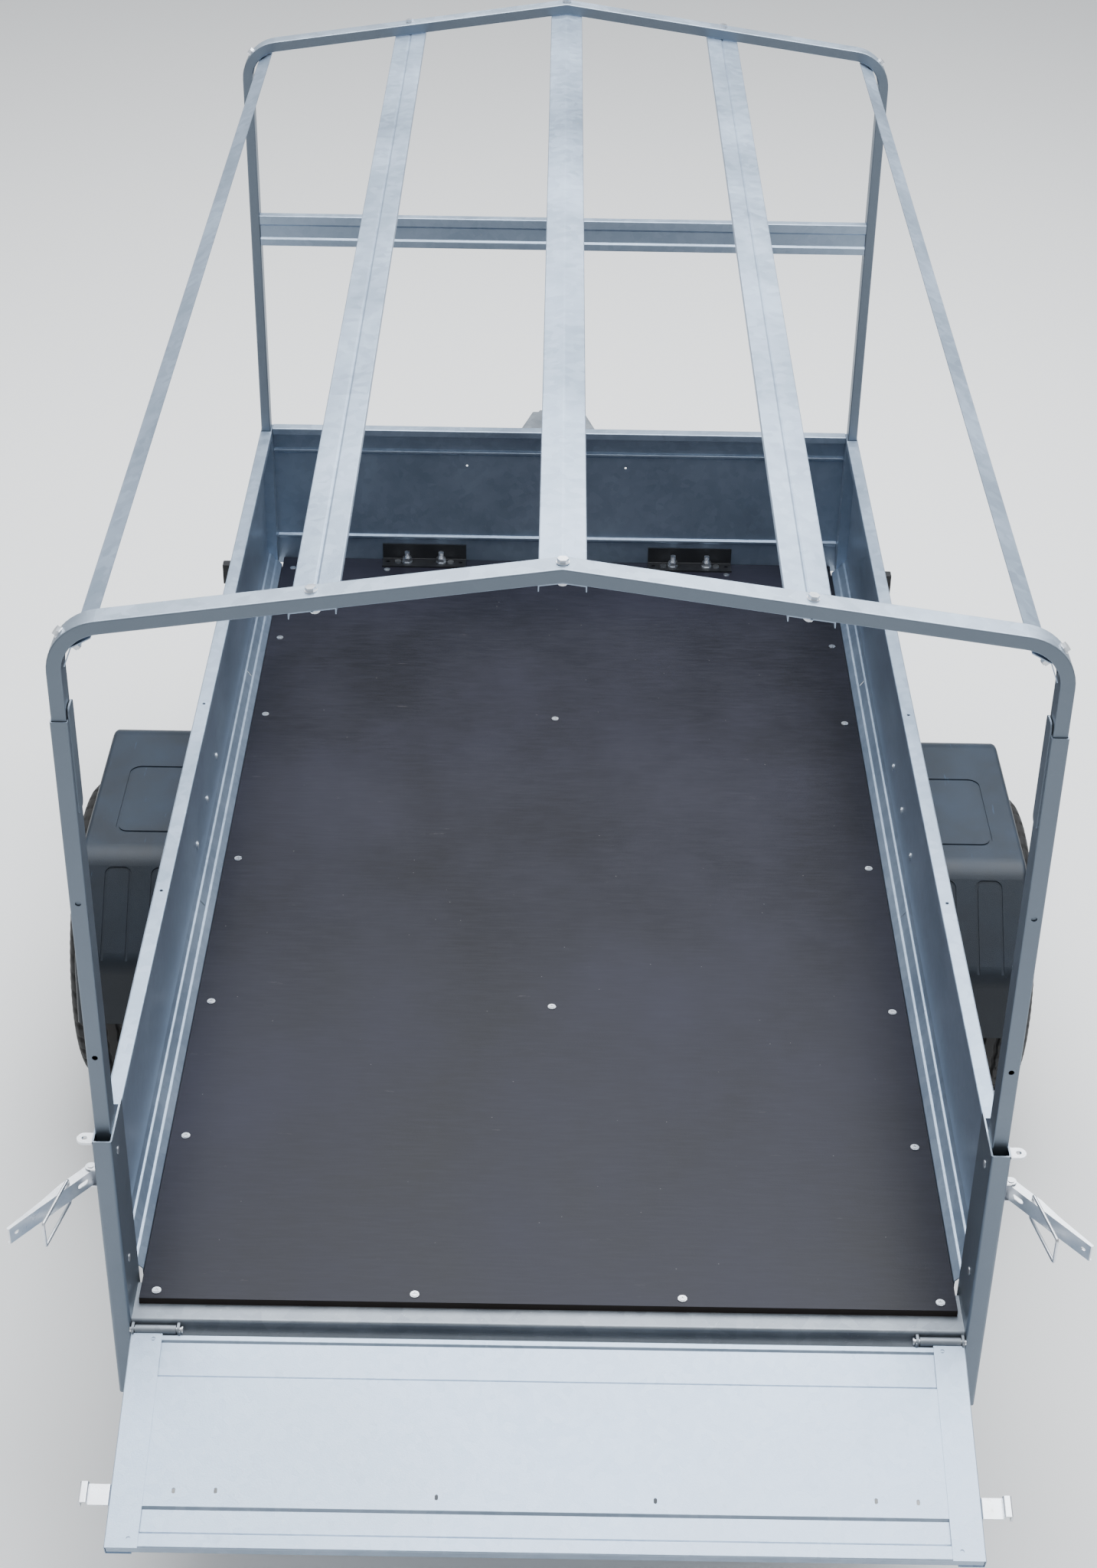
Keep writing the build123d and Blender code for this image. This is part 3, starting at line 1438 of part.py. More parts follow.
fender_bend = 64.0  # along the top line
slope_run = hypot(fender_line[2][0] - fender_line[1][0], fender_line[2][1] - fender_line[1][1])
rib_spans = ((fender_inner + 10, fender_inner + 66), (fender_inner + 106, fender_inner + 150))
rib_depth = 2.0
with BuildPart() as fender:
    fender_band(0, fender_skirt, (fender_inner, fender_outer), Mode.ADD, fender_bend - fender_skirt / 2)
    long_edges = fender.edges().filter_by(
        lambda e: abs(e.center().X - fender_outer) < 0.01 and abs(e.tangent_at(0).X) < 0.01
    )
    top_edges = ShapeList(e for e in long_edges if fender_depth(e) < 1)
    fillet(top_edges, 9.0)
    fender_band(
        fender_sheet,
        fender_skirt + 30,
        (fender_inner + fender_sheet, fender_outer - fender_sheet),
        Mode.SUBTRACT,
        fender_bend - (fender_sheet + fender_skirt + 30) / 2,
    )
    fender_band(
        fender_sheet,
        fender_leg,
        (fender_inner, fender_inner + fender_sheet),
        Mode.ADD,
        fender_bend - (fender_sheet + fender_leg) / 2,
    )
    with BuildSketch(level(fender_top)) as panel:
        with Locations(((fender_inner + fender_outer) / 2 - 16, axle_y - 36)):
            RectangleRounded(126, 222, 22)
            RectangleRounded(115, 211, 17, mode=Mode.SUBTRACT)
    extrude(panel.sketch, amount=-rib_depth, mode=Mode.SUBTRACT)
    for end in sides:
        for inner, outer in rib_spans:
            with BuildSketch(slope_plane(end).offset(-rib_depth)) as rib:
                with BuildLine():
                    FilletPolyline(
                        (-end * inner, 6),
                        (-end * inner, slope_run - 30),
                        (-end * outer, slope_run - 30),
                        (-end * outer, 6),
                        radius=12,
                    )
                trace(line_width=5)
            extrude(rib.sketch, amount=rib_depth + 4, mode=Mode.SUBTRACT)
    for y in fender_bolt_rows:
        rod(at(wall_outer - 1, y, fender_bolt_z, (1, 0, 0)), 4.1, 12, mode=Mode.SUBTRACT)
save_pair(fender, "fender")


# ---------------------------------------------------------------- coupling
# A pressed body with two cheeks astride the drawbar's nose and a ball socket in front.
tip_y = front_y + drawbar_reach
socket_y = tip_y - 38
cheek = 4.0
body_half = nose_half + cheek + 0.2
body_rear_y = gusset_front_y + 6
body_top = arm_top + 14
socket_low = arm_bottom + 2
socket_top = socket_low + 24
jaw_slot = 9.0  # half width of the slot behind the socket
jaw_y = (socket_y - socket_radius - 12, socket_y - socket_radius + 3)
cavity_top = socket_top + 20
with BuildPart() as coupling_housing:
    with BuildSketch(level(socket_low)) as plan:
        with Locations((0, socket_y)):
            Circle(38)
        with Locations((0, (socket_y + body_rear_y) / 2)):
            Rectangle(2 * body_half, socket_y - body_rear_y)
    extrude(plan.sketch, amount=body_top - socket_low)
    fillet(coupling_housing.edges().group_by(Axis.Z)[-1], 7.0)
    block(  # room for the drawbar's nose
        (-nose_half - 0.2, nose_half + 0.2),
        (body_rear_y - 1, nose_front_y + 1),
        (socket_low - 1, arm_top + 0.2),
        mode=Mode.SUBTRACT,
    )
    mouth = at(0, socket_y, socket_low - 1, (0, 0, 1))
    rod(mouth, socket_radius, socket_top - socket_low + 1, mode=Mode.SUBTRACT)
    with Locations((0, socket_y, socket_top)):
        Sphere(socket_radius, mode=Mode.SUBTRACT)
    block((-jaw_slot, jaw_slot), jaw_y, (socket_low - 1, cavity_top), mode=Mode.SUBTRACT)
    for y in coupling_bolt_rows:
        rod(at(-60, y, arm_centre_z, (1, 0, 0)), 6.2, 120, mode=Mode.SUBTRACT)
    handle_pivot = (socket_y - 52, body_top + 9)
    for x in (-16.0, 12.0):
        with BuildSketch(beside(x)) as ear:
            with Locations(handle_pivot):
                Circle(8)
            with Locations((handle_pivot[0], body_top + 3)):
                Rectangle(26, 12)
            with Locations(handle_pivot):
                Circle(4 + running, mode=Mode.SUBTRACT)
        extrude(ear.sketch, amount=4)
    jaw_hole = at(-jaw_slot - 8, jaw_y[0] + 6, cavity_top - 8, (1, 0, 0))
    rod(jaw_hole, 3.0 + running, 2 * jaw_slot + 16, mode=Mode.SUBTRACT)
save(coupling_housing, "coupling_housing")

jaw_pivot = (jaw_y[0] + 6, cavity_top - 8)
with BuildPart() as ball_clamp:
    with BuildSketch(beside(-jaw_slot + 1.5)) as jaw:
        with Locations(jaw_pivot):
            Circle(5.4)
        with BuildLine():
            Polyline(
                (jaw_pivot[0] - 4.5, jaw_pivot[1]),
                (jaw_pivot[0] + 4.5, jaw_pivot[1]),
                (jaw_pivot[0] + 5.2, socket_low + 3),
                (jaw_pivot[0] - 1.0, socket_low + 3),
                close=True,
            )
        make_face()
        with Locations(jaw_pivot):
            Circle(3.0 + running, mode=Mode.SUBTRACT)
    extrude(jaw.sketch, amount=2 * jaw_slot - 3)
save(ball_clamp, "ball_clamp")

with BuildPart() as pivot_pins:
    pin_start = tab_x - tab_width / 2 - ear_gap - ear_sheet - 3
    pin_run = tab_width + 2 * (ear_gap + ear_sheet) + 6
    rod(at(pin_start, hinge_y, hinge_z, (1, 0, 0)), pin_radius, pin_run)
    rod(at(pin_start, hinge_y, hinge_z, (-1, 0, 0)), pin_radius + 2, 2)
    reach = base_ear_z + base_sheet
    rod(at(latch_x, latch_y, latch_z - reach, (0, 0, 1)), latch_pin, 2 * reach)
    for turn in (-1, 1):
        rod(at(latch_x, latch_y, latch_z + turn * reach, (0, 0, turn)), latch_pin + 1.6, pin_head)
    mirror(about=Plane.YZ)
    rod(at(-18, handle_pivot[0], handle_pivot[1], (1, 0, 0)), 4.0, 36)
    for side in sides:
        rod(at(side * 16, handle_pivot[0], handle_pivot[1], (side, 0, 0)), 6.0, 2)
    rod(at(-jaw_slot - 7, jaw_pivot[0], jaw_pivot[1], (1, 0, 0)), 3.0, 2 * jaw_slot + 14)
save(pivot_pins, "pivot_pins")

handle_half = 11.5
handle_length = 150.0
with BuildPart() as coupling_handle:
    with BuildSketch(beside(-handle_half)) as side_view:
        with Locations(handle_pivot):
            Circle(7.6)
        with BuildLine():
            FilletPolyline(
                (handle_pivot[0], handle_pivot[1]),
                (handle_pivot[0] - 34, body_top + 7),
                (handle_pivot[0] - 90, body_top + 9),
                (handle_pivot[0] - handle_length, body_top + 26),
                radius=20,
            )
        trace(line_width=11)
    extrude(side_view.sketch, amount=2 * handle_half)
    fillet(coupling_handle.edges().group_by(Axis.Y)[0].filter_by(Axis.Z, reverse=True), 1.5)
    rod(at(-20, handle_pivot[0], handle_pivot[1], (1, 0, 0)), 4.0 + running, 40, mode=Mode.SUBTRACT)
save(coupling_handle, "coupling_handle")

# ---------------------------------------------------------------- prop stand
sleeve_low = arm_bottom - 20
sleeve_high = arm_top + 4
prop_leg_top = arm_top + 40
foot_height = 14.0
with BuildPart() as prop_sleeve:
    pipe(level(sleeve_low).shift_origin((0, prop_y, sleeve_low)), sleeve_radius, leg_radius + running,
         sleeve_high - sleeve_low)
    boss = at(0, prop_y + leg_radius + 2, sleeve_low + 12, (0, 1, 0))
    rod(boss, 11, 13)
    rod(at(0, prop_y, sleeve_low + 12, (0, 1, 0)), 5.0 + running, 60, mode=Mode.SUBTRACT)
    rod(at(0, prop_y, sleeve_low - 1, (0, 0, 1)), leg_radius + running, 100, mode=Mode.SUBTRACT)
save(prop_sleeve, "prop_sleeve")

with BuildPart() as prop_leg:
    pipe(level(foot_height).shift_origin((0, prop_y, foot_height)), leg_radius, leg_radius - 3,
         prop_leg_top - foot_height)
    rod(at(0, prop_y, prop_leg_top, (0, 0, 1)), leg_radius, 3)
    with BuildSketch(Plane(origin=(0, prop_y, 0), x_dir=(1, 0, 0), z_dir=(0, -1, 0))) as foot:
        with BuildLine():
            Polyline(
                (0, 0),
                (58, 0),
                (60, 2.5),
                (58, 5),
                (30, 7),
                (26, foot_height - 1),
                (24, foot_height),
                (0, foot_height),
                close=True,
            )
        make_face()
    revolve(foot.sketch, axis=Axis((0, prop_y, 0), (0, 0, 1)))
save(prop_leg, "prop_leg")


screw_z = sleeve_low + 12
with BuildPart() as prop_clamp_screw:
    tip = prop_y + leg_radius + seat_gap
    rod(at(0, tip, screw_z, (0, 1, 0)), 5.0, 34)
    rod(at(0, tip + 34, screw_z, (0, 1, 0)), 8.0, 14)
    rod(at(-45, tip + 41, screw_z, (1, 0, 0)), 4.0, 90)
    for side in sides:
        with Locations((side * 45, tip + 41, screw_z)):
            Sphere(6.5)
save(prop_clamp_screw, "prop_clamp_screw")

# ---------------------------------------------------------------- lamps
bar_high = deck - 82
bar_face_y = post_rear_y + 12
lamp_half = (450.0, 590.0)
lamp_low = bar_high - 62
with BuildPart() as light_bar:
    fold(
        beside(-post_inner + slip),
        [
            (bar_face_y + 26, bar_high - 1),
            (bar_face_y + 1, bar_high - 1),
            (bar_face_y + 1, bar_high - 70),
            (bar_face_y + 26, bar_high - 70),
        ],
        2.0,
        2 * (post_inner - slip),
        2.0,
    )
save(light_bar, "light_bar")

side_lamp_y = front_y - 178
side_lamp = (post_outer + 40, post_outer + 78)
side_lamp_z = (deck + 36, deck + 82)
with BuildPart() as lamp_housings:
    block(lamp_half, (bar_face_y - 26, bar_face_y), (lamp_low, lamp_low + 54))
    fillet(lamp_housings.edges().filter_by(Axis.Y), 7.0)
    with BuildSketch(across(bar_face_y - 26)) as well:
        with Locations((sum(lamp_half) / 2, lamp_low + 27)):
            RectangleRounded(lamp_half[1] - lamp_half[0] - 6, 48, 5)
    extrude(well.sketch, amount=-20, mode=Mode.SUBTRACT)
    block(side_lamp, (side_lamp_y - 16, side_lamp_y + 6), side_lamp_z)
    block(
        (wall_outer, side_lamp[0]),
        (side_lamp_y - 8, side_lamp_y + 2),
        (side_lamp_z[0], side_lamp_z[0] + 20),
    )
    mirror(about=Plane.YZ)
save(lamp_housings, "lamp_housings")

with BuildPart() as tail_lenses:
    with BuildSketch(across(bar_face_y - 31)) as lens:
        with Locations((sum(lamp_half) / 2, lamp_low + 27)):
            RectangleRounded(lamp_half[1] - lamp_half[0] - 6.4, 47.6, 4.8)
    extrude(lens.sketch, amount=-12)
    fillet(tail_lenses.edges().group_by(Axis.Y)[0], 2.5)
    mirror(about=Plane.YZ)
save(tail_lenses, "tail_lenses")

with BuildPart() as side_lenses:
    block(
        (side_lamp[0] + 2, side_lamp[1] - 2),
        (side_lamp_y + 6, side_lamp_y + 13),
        (side_lamp_z[0] + 2, side_lamp_z[1] - 2),
    )
    fillet(side_lenses.edges().group_by(Axis.Y)[-1], 3.0)
    mirror(about=Plane.YZ)
save(side_lenses, "side_lenses")

# ---------------------------------------------------------------- frame fasteners
with BuildPart() as frame_bolts:
    for x, y in pad_bolt_points:
        seat = at(x, y, arm_bottom - pad_sheet, (0, 0, -1))
        hexagon(seat, 19, 7)
        rod(seat, pad_bolt / 2, -(pad_sheet + arm_wall + 9))
    for y in coupling_bolt_rows:
        hex_bolt(at(body_half, y, arm_centre_z, (1, 0, 0)), pad_bolt, 2 * body_half)
save(frame_bolts, "frame_bolts")

with BuildPart() as m8_bolts:
    for y in (sleeve_y, front_hoop_y):
        for i, seat in enumerate(hoop_bolt_seats(y, 0)):
            corner_grip = seat_gap + 0.95 * bolt_size * tan(corner_fold)
            grip = hoop_tube + slat_sheet + (corner_grip if i in (2, 4) else 1.7)
            rod(seat, 8.5, 1.4)
            hex_bolt(seat.offset(1.4), bolt_size, grip + 1.4)
    for side in sides:  # the fenders stand on spacers and are bolted through the walls
        for y in fender_bolt_rows:
            seat = at(side * (fender_inner + fender_sheet), y, fender_bolt_z, (side, 0, 0))
            rod(seat, 11, 1.6)
            hexagon(seat.offset(1.6), 13, 5.3)
            rod(seat, bolt_size / 2, -(fender_sheet + fender_stand + wall_sheet + 3))
            pipe(at(side * wall_outer, y, fender_bolt_z, (side, 0, 0)), 10, bolt_size / 2, fender_stand)
            rod(at(side * wall_inner, y, fender_bolt_z, (-side, 0, 0)), 7, 2.5)
save(m8_bolts, "m8_bolts")
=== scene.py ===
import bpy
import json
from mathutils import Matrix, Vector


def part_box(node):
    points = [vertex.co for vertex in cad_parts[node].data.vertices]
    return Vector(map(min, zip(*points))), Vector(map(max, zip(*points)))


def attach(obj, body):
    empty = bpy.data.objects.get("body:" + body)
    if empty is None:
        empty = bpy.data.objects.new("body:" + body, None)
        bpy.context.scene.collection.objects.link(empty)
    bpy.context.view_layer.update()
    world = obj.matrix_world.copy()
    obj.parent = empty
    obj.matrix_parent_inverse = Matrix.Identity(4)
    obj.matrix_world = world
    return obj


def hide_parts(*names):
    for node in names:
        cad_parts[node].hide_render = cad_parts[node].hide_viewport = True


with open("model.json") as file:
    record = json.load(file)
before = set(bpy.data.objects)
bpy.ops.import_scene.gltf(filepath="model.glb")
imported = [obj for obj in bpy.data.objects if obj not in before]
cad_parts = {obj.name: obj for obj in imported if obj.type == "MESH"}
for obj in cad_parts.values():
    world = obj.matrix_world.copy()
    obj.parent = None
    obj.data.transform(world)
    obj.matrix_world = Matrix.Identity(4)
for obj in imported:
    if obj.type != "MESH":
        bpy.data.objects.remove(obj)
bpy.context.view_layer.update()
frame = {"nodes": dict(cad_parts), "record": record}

import json
from math import pi
import bpy
import numpy as np
from mathutils import Matrix, Vector

nodes = frame["nodes"]
sides = (("left", -1), ("right", 1))
print("frame loaded:", len(nodes), "nodes")


class Wire:
    # a socket that takes part in ordinary arithmetic, adding its Math nodes as it goes
    def __init__(self, finish, socket):
        self.finish = finish
        self.socket = socket

    def maths(self, operation, a, b=0.0):
        return self.finish.add("ShaderNodeMath", {"operation": operation}, {0: a, 1: b})

    def __add__(self, other):
        return self.maths("ADD", self, other)

    def __radd__(self, other):
        return self.maths("ADD", other, self)

    def __sub__(self, other):
        return self.maths("SUBTRACT", self, other)

    def __rsub__(self, other):
        return self.maths("SUBTRACT", other, self)

    def __mul__(self, other):
        return self.maths("MULTIPLY", self, other)

    def __rmul__(self, other):
        return self.maths("MULTIPLY", other, self)

    def __gt__(self, other):
        return self.maths("GREATER_THAN", self, other)

    def __lt__(self, other):
        return self.maths("LESS_THAN", self, other)

    def wave(self):
        return self.maths("SINE", self)

    def size(self):
        return self.maths("ABSOLUTE", self)


class Finish:
    # one material, with its principled shader and the nodes that feed it
    def __init__(self, name, **constants):
        self.material = bpy.data.materials.new(name)
        self.material.use_nodes = True
        self.tree = self.material.node_tree
        self.shader = next(n for n in self.tree.nodes if n.type == "BSDF_PRINCIPLED")
        for socket, value in constants.items():
            self.shader.inputs[socket.replace("_", " ")].default_value = value

    def add(self, kind, settings, inputs, output=0):
        node = self.tree.nodes.new(kind)
        for key, value in settings.items():
            setattr(node, key, value)
        for key, value in inputs.items():
            self.put(node.inputs[key], value)
        return Wire(self, node.outputs[output])

    def put(self, socket, value):
        if isinstance(value, Wire):
            self.tree.links.new(value.socket, socket)
        else:
            socket.default_value = value

    def place(self, stretch=(1, 1, 1)):
        # the piece's own coordinates in metres, stretched per axis
        where = self.add("ShaderNodeTexCoord", {}, {}, "Object")
        return self.add("ShaderNodeVectorMath", {"operation": "MULTIPLY"}, {0: where, 1: stretch})

    def axis(self, name):
        where = self.add("ShaderNodeTexCoord", {}, {}, "Object")
        return self.add("ShaderNodeSeparateXYZ", {}, {0: where}, name)

    def facing(self, name):
        normal = self.add("ShaderNodeNewGeometry", {}, {}, "Normal")
        return self.add("ShaderNodeSeparateXYZ", {}, {0: normal}, name)

    def noise(self, scale, stretch=(1, 1, 1), detail=4.0, rough=0.55):
        inputs = {"Vector": self.place(stretch), "Scale": scale, "Detail": detail, "Roughness": rough}
        return self.add("ShaderNodeTexNoise", {}, inputs, 0)

    def cells(self, scale, output="Distance"):
        return self.add("ShaderNodeTexVoronoi", {}, {"Vector": self.place(), "Scale": scale}, output)

    def span(self, value, low, high, toLow=0.0, toHigh=1.0):
        inputs = {"Value": value, 1: low, 2: high, 3: toLow, 4: toHigh}
        return self.add("ShaderNodeMapRange", {}, inputs)

    def blend(self, factor, a, b):
        # sockets 6, 7 and 2 are the colour ones of a Mix node
        a, b = (value if isinstance(value, Wire) else (*value, 1) for value in (a, b))
        return self.add("ShaderNodeMix", {"data_type": "RGBA"}, {0: factor, 6: a, 7: b}, 2)

    def wear(self, colour, roughness, height, depth):
        # a roughness of None leaves the constant set on the shader
        self.put(self.shader.inputs["Base Color"], colour)
        if roughness is not None:
            self.put(self.shader.inputs["Roughness"], roughness)
        bump = self.add("ShaderNodeBump", {}, {"Height": height, "Distance": depth, "Strength": 1.0})
        self.put(self.shader.inputs["Normal"], bump)
        return self.material


def galvanised(name, pale, deep, rough, spangle=70.0, shade=0.45):
    # zinc-coated sheet: cloudy patches, crystal cells and drawn streaks, with painted shade on upright faces
    f = Finish(name, Metallic=0.82)
    cloud = f.noise(3.0, detail=5.0)
    crystal = f.cells(spangle, output="Color")
    tone = f.add("ShaderNodeSeparateColor", {}, {0: crystal}, 0)
    streak = f.noise(9.0, (1.0, 0.12, 1.0), 3.0)
    mix = f.span(cloud * 0.62 + tone * 0.16 + streak * 0.30, 0.36, 0.74)
    colour = f.blend(mix, deep, pale)
    spots = f.span(f.noise(160.0, detail=2.0), 0.66, 0.76)
    colour = f.blend(spots * 0.25, colour, (0.80, 0.83, 0.86))
    grey = f.span(f.noise(24.0, detail=6.0, rough=0.7), 0.60, 0.78)
    colour = f.blend(grey * 0.30, colour, tuple(c * 0.62 for c in deep))
    paintedUprightShade = 1 - f.span(f.facing("Z").size(), 0.25, 0.85)  # painted shade: upright faces darken towards a dark copy of the deep colour, as much as the shade factor says
    colour = f.blend(paintedUprightShade * shade, colour, tuple(c * 0.40 for c in deep))
    roughness = f.span(cloud + streak * 0.4 + tone * 0.12, 0.4, 1.0, rough - 0.07, rough + 0.12)
    height = f.noise(420.0, detail=2.0) * 0.30 + tone * 0.10 + f.noise(5.0, detail=1.0) * 2.5
    return f.wear(colour, roughness, height=height, depth=0.0004)


def zincPlate(name, tint):
    f = Finish(name, Metallic=1.0)
    haze = f.noise(30.0, detail=5.0)
    colour = f.blend(f.span(haze, 0.35, 0.7), tint, (0.86, 0.88, 0.91))
    stain = f.span(f.noise(90.0, detail=4.0), 0.62, 0.72)
    colour = f.blend(stain * 0.35, colour, (0.42, 0.40, 0.37))
    return f.wear(colour, f.span(haze, 0.3, 0.7, 0.24, 0.42), height=f.noise(700.0), depth=0.00008)


def coatedMetal(name, base, chip, rough, coat=0.0):
    f = Finish(name, Metallic=0.0, Coat_Weight=coat, Coat_Roughness=0.2)
    dust = f.span(f.noise(18.0, detail=6.0), 0.45, 0.8)
    colour = f.blend(dust * 0.4, base, tuple(min(1, c * 1.6 + 0.02) for c in base))
    worn = f.span(f.noise(140.0, detail=5.0, rough=0.75), 0.70, 0.74)
    colour = f.blend(worn, colour, chip)
    roughness = f.span(f.noise(40.0), 0.3, 0.7, rough - 0.06, rough + 0.1)
    return f.wear(colour, roughness, height=f.noise(520.0, detail=2.0), depth=0.00012)


def mouldedPlastic(name, base, dusty, rough):
    # fine moulded grain with dust lying in the level places
    f = Finish(name, Specular_IOR_Level=0.42)
    grain = f.cells(1100.0)
    cloud = f.noise(7.0, detail=6.0, rough=0.62)
    level = f.span(f.facing("Z"), 0.55, 1.0)
    dust = (f.span(cloud, 0.38, 0.75) * 0.55 + 0.18) * level
    colour = f.blend(dust, base, dusty)
    scratch = f.span(f.noise(26.0, (6.0, 0.5, 1.0), 3.0), 0.70, 0.73)
    colour = f.blend(scratch * 0.4, colour, tuple(c * 2.2 for c in dusty))
    roughness = f.span(cloud + grain * 0.3, 0.3, 1.0, rough - 0.06, rough + 0.12)
    return f.wear(colour, roughness, height=grain * 0.6 + f.noise(60.0) * 0.5, depth=0.0003)


def floorFilm(name, top, under):
    # resin film on plywood: clouded brown top with a fine crosswise weave, dark sealed edge
    f = Finish(name, Specular_IOR_Level=0.25)
    z = f.axis("Z")
    cloud = f.noise(2.2, (1.0, 0.7, 1.0), 6.0, 0.6)
    brush = f.noise(60.0, (0.35, 3.0, 1.0), 4.0)
    colour = f.blend(f.span(cloud, 0.34, 0.72), (0.010, 0.010, 0.015), (0.025, 0.025, 0.040))
    colour = f.blend(f.span(brush, 0.40, 0.75) * 0.22, colour, (0.046, 0.046, 0.064))
    scuff = f.span(f.noise(11.0, (1.0, 5.0, 1.0), 7.0, 0.75), 0.665, 0.70)
    colour = f.blend(scuff * 0.30, colour, (0.13, 0.12, 0.13))
    speck = 1 - f.span(f.cells(26.0), 0.018, 0.030)
    colour = f.blend(speck * 0.45, colour, (0.30, 0.29, 0.28))
    ply = f.span((z * 2900.0).wave(), -0.2, 0.2)
    edge = f.blend(ply * 0.7, (0.010, 0.007, 0.006), (0.030, 0.020, 0.015))
    chip = f.span(f.noise(130.0, (1, 1, 2), 5.0, 0.7), 0.69, 0.72)
    edge = f.blend(chip * 0.8, edge, (0.34, 0.27, 0.20))
    onTop = z > top - 0.0004
    colour = f.blend(onTop, edge, colour)
    below = z < under + 0.0004
    colour = f.blend(below, colour, (0.05, 0.035, 0.028))
    roughness = f.span(cloud + scuff * 0.3 + brush * 0.3, 0.4, 1.1, 0.34, 0.56)
    height = brush * 0.6 + f.noise(300.0, detail=2.0) * 0.4
    return f.wear(colour, roughness, height=height, depth=0.00022)


def tyreRubber(name):
    f = Finish(name, Specular_IOR_Level=0.35)
    cloud = f.noise(14.0, detail=6.0, rough=0.65)
    colour = f.blend(f.span(cloud, 0.4, 0.75) * 0.6, (0.011, 0.011, 0.012), (0.045, 0.041, 0.037))
    fine = f.noise(600.0, detail=3.0)
    return f.wear(colour, f.span(cloud, 0.3, 0.7, 0.58, 0.78), height=fine, depth=0.0002)


def lampLens(name, clear, deep):
    f = Finish(name, Roughness=0.12, IOR=1.5, Coat_Weight=0.6)
    x, z = f.axis("X"), f.axis("Z")
    prism = (x * 1300.0).wave() * (z * 1300.0).wave()
    colour = f.blend(f.span(prism, -0.6, 0.6), deep, clear)
    return f.wear(colour, None, height=prism, depth=0.0006)


def plainRubber(name):
    f = Finish(name)
    haze = f.noise(50.0, detail=5.0)
    colour = f.blend(haze, (0.012, 0.012, 0.012), (0.035, 0.034, 0.033))
    return f.wear(colour, f.span(haze, 0.3, 0.7, 0.6, 0.8), height=f.noise(400.0), depth=0.0002)


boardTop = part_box("floor_board")[1][2]
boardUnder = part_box("floor_board")[0][2]
# the last number of each galvanised finish sets how much painted shade its upright faces get
finishes = {
    "galv": galvanised("galvanisedSheet", (0.54, 0.65, 0.80), (0.38, 0.48, 0.62), 0.36, shade=0.36),
    "frame_steel": galvanised("galvanisedSection", (0.42, 0.46, 0.51), (0.26, 0.29, 0.33), 0.46, 45.0, 0.55),
    "zinc": zincPlate("zincPlate", (0.66, 0.69, 0.74)),
    "hub_steel": coatedMetal("castGrey", (0.15, 0.16, 0.17), (0.34, 0.34, 0.34), 0.48),
    "rim_steel": coatedMetal("silverEnamel", (0.52, 0.53, 0.55), (0.25, 0.24, 0.23), 0.34, 0.5),
    "black_metal": coatedMetal("blackCoat", (0.016, 0.017, 0.020), (0.16, 0.16, 0.17), 0.42),
    "floor_film": floorFilm("filmFacedPly", boardTop, boardUnder),
    "fender_plastic": mouldedPlastic("mouldedBlack", (0.003, 0.007, 0.013), (0.020, 0.040, 0.072), 0.42),
    "lamp_plastic": mouldedPlastic("lampBlack", (0.012, 0.012, 0.014), (0.04, 0.04, 0.045), 0.36),
    "red_lens": lampLens("redLens", (0.62, 0.02, 0.015), (0.30, 0.006, 0.006)),
    "amber_lens": lampLens("markerLens", (0.86, 0.86, 0.84), (0.55, 0.55, 0.55)),
    "rubber": plainRubber("plainRubber"),
    "tyre": tyreRubber("tyreRubber"),
}
# a shaded copy of the galvanised sheet for the hoops and posts: darker base colours and stronger painted
# shade on their upright faces
shadedTubeFinish = galvanised("galvanisedTubeShaded", (0.50, 0.59, 0.71), (0.34, 0.41, 0.50), 0.42, 60.0, 0.88)
tubes = ("rear_hoop", "front_hoop", "rear_posts", "hoop_sleeves")
slotOf = {entry["node"]: entry["material_slot"] for entry in frame["record"]["subparts"]}
for name, thing in nodes.items():
    finish = shadedTubeFinish if name in tubes else finishes[slotOf[name]]
    if thing.data.materials:
        for i in range(len(thing.data.materials)):
            thing.data.materials[i] = finish
    else:
        thing.data.materials.append(finish)
print("finishes set:", len(finishes))


def putMesh(name, points, faces, slotName, body):
    # faces is a list of point numbers for each face, quads and triangles alike
    mesh = bpy.data.meshes.new(name)
    mesh.from_pydata(np.asarray(points, float).reshape(-1, 3).tolist(), [], faces)
    mesh.polygons.foreach_set("use_smooth", np.full(len(mesh.polygons), True))
    mesh.materials.append(finishes[slotName])
    piece = bpy.data.objects.new(name, mesh)
    bpy.context.collection.objects.link(piece)
    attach(piece, body)
    return piece


def gridFaces(rows, columns, closeRows=False, closeColumns=True, start=0):
    # quads over a rows x columns grid of points, wrapped round either way
    r = np.arange(rows if closeRows else rows - 1)
    c = np.arange(columns if closeColumns else columns - 1)
    i, j = (a.ravel() for a in np.meshgrid(r, c, indexing="ij"))
    iNext, jNext = (i + 1) % rows, (j + 1) % columns
    quads = [i * columns + j, iNext * columns + j, iNext * columns + jNext, i * columns + jNext]
    return np.stack(quads, axis=1) + start


tyreSpec = {
    "stepsRound": 400,
    "treadSteps": 120,
    "treadHalf": 0.063,
    "crownDrop": 0.0045,  # how much lower the tread is at its shoulders
    "rimEdge": 0.165,  # radius of the rim's bead seat
    "beadHalf": 0.0580,
    "skinGap": 0.0012,  # keeps the sidewall inside the tyre's own box
    "grooves": (-0.036, -0.013, 0.013, 0.036),  # across the tread, from its middle
    "grooveHalf": 0.0042,
    "grooveDepth": 0.0062,
    "grooveSway": 0.0012,
    "notches": 50,  # crosswise cuts round the shoulder
    "notchDepth": 0.0045,
    "sipeDepth": 0.003,
    "ribs": 96,  # fine ribs on the sidewall's shoulder
    "ribHeight": 0.0006,
}


def smoothStep(x, low, high):
    # 3t^2 - 2t^3, where t runs from 0 at low to 1 at high
    t = np.clip((x - low) / (high - low), 0, 1)
    return t * t * (3 - 2 * t)


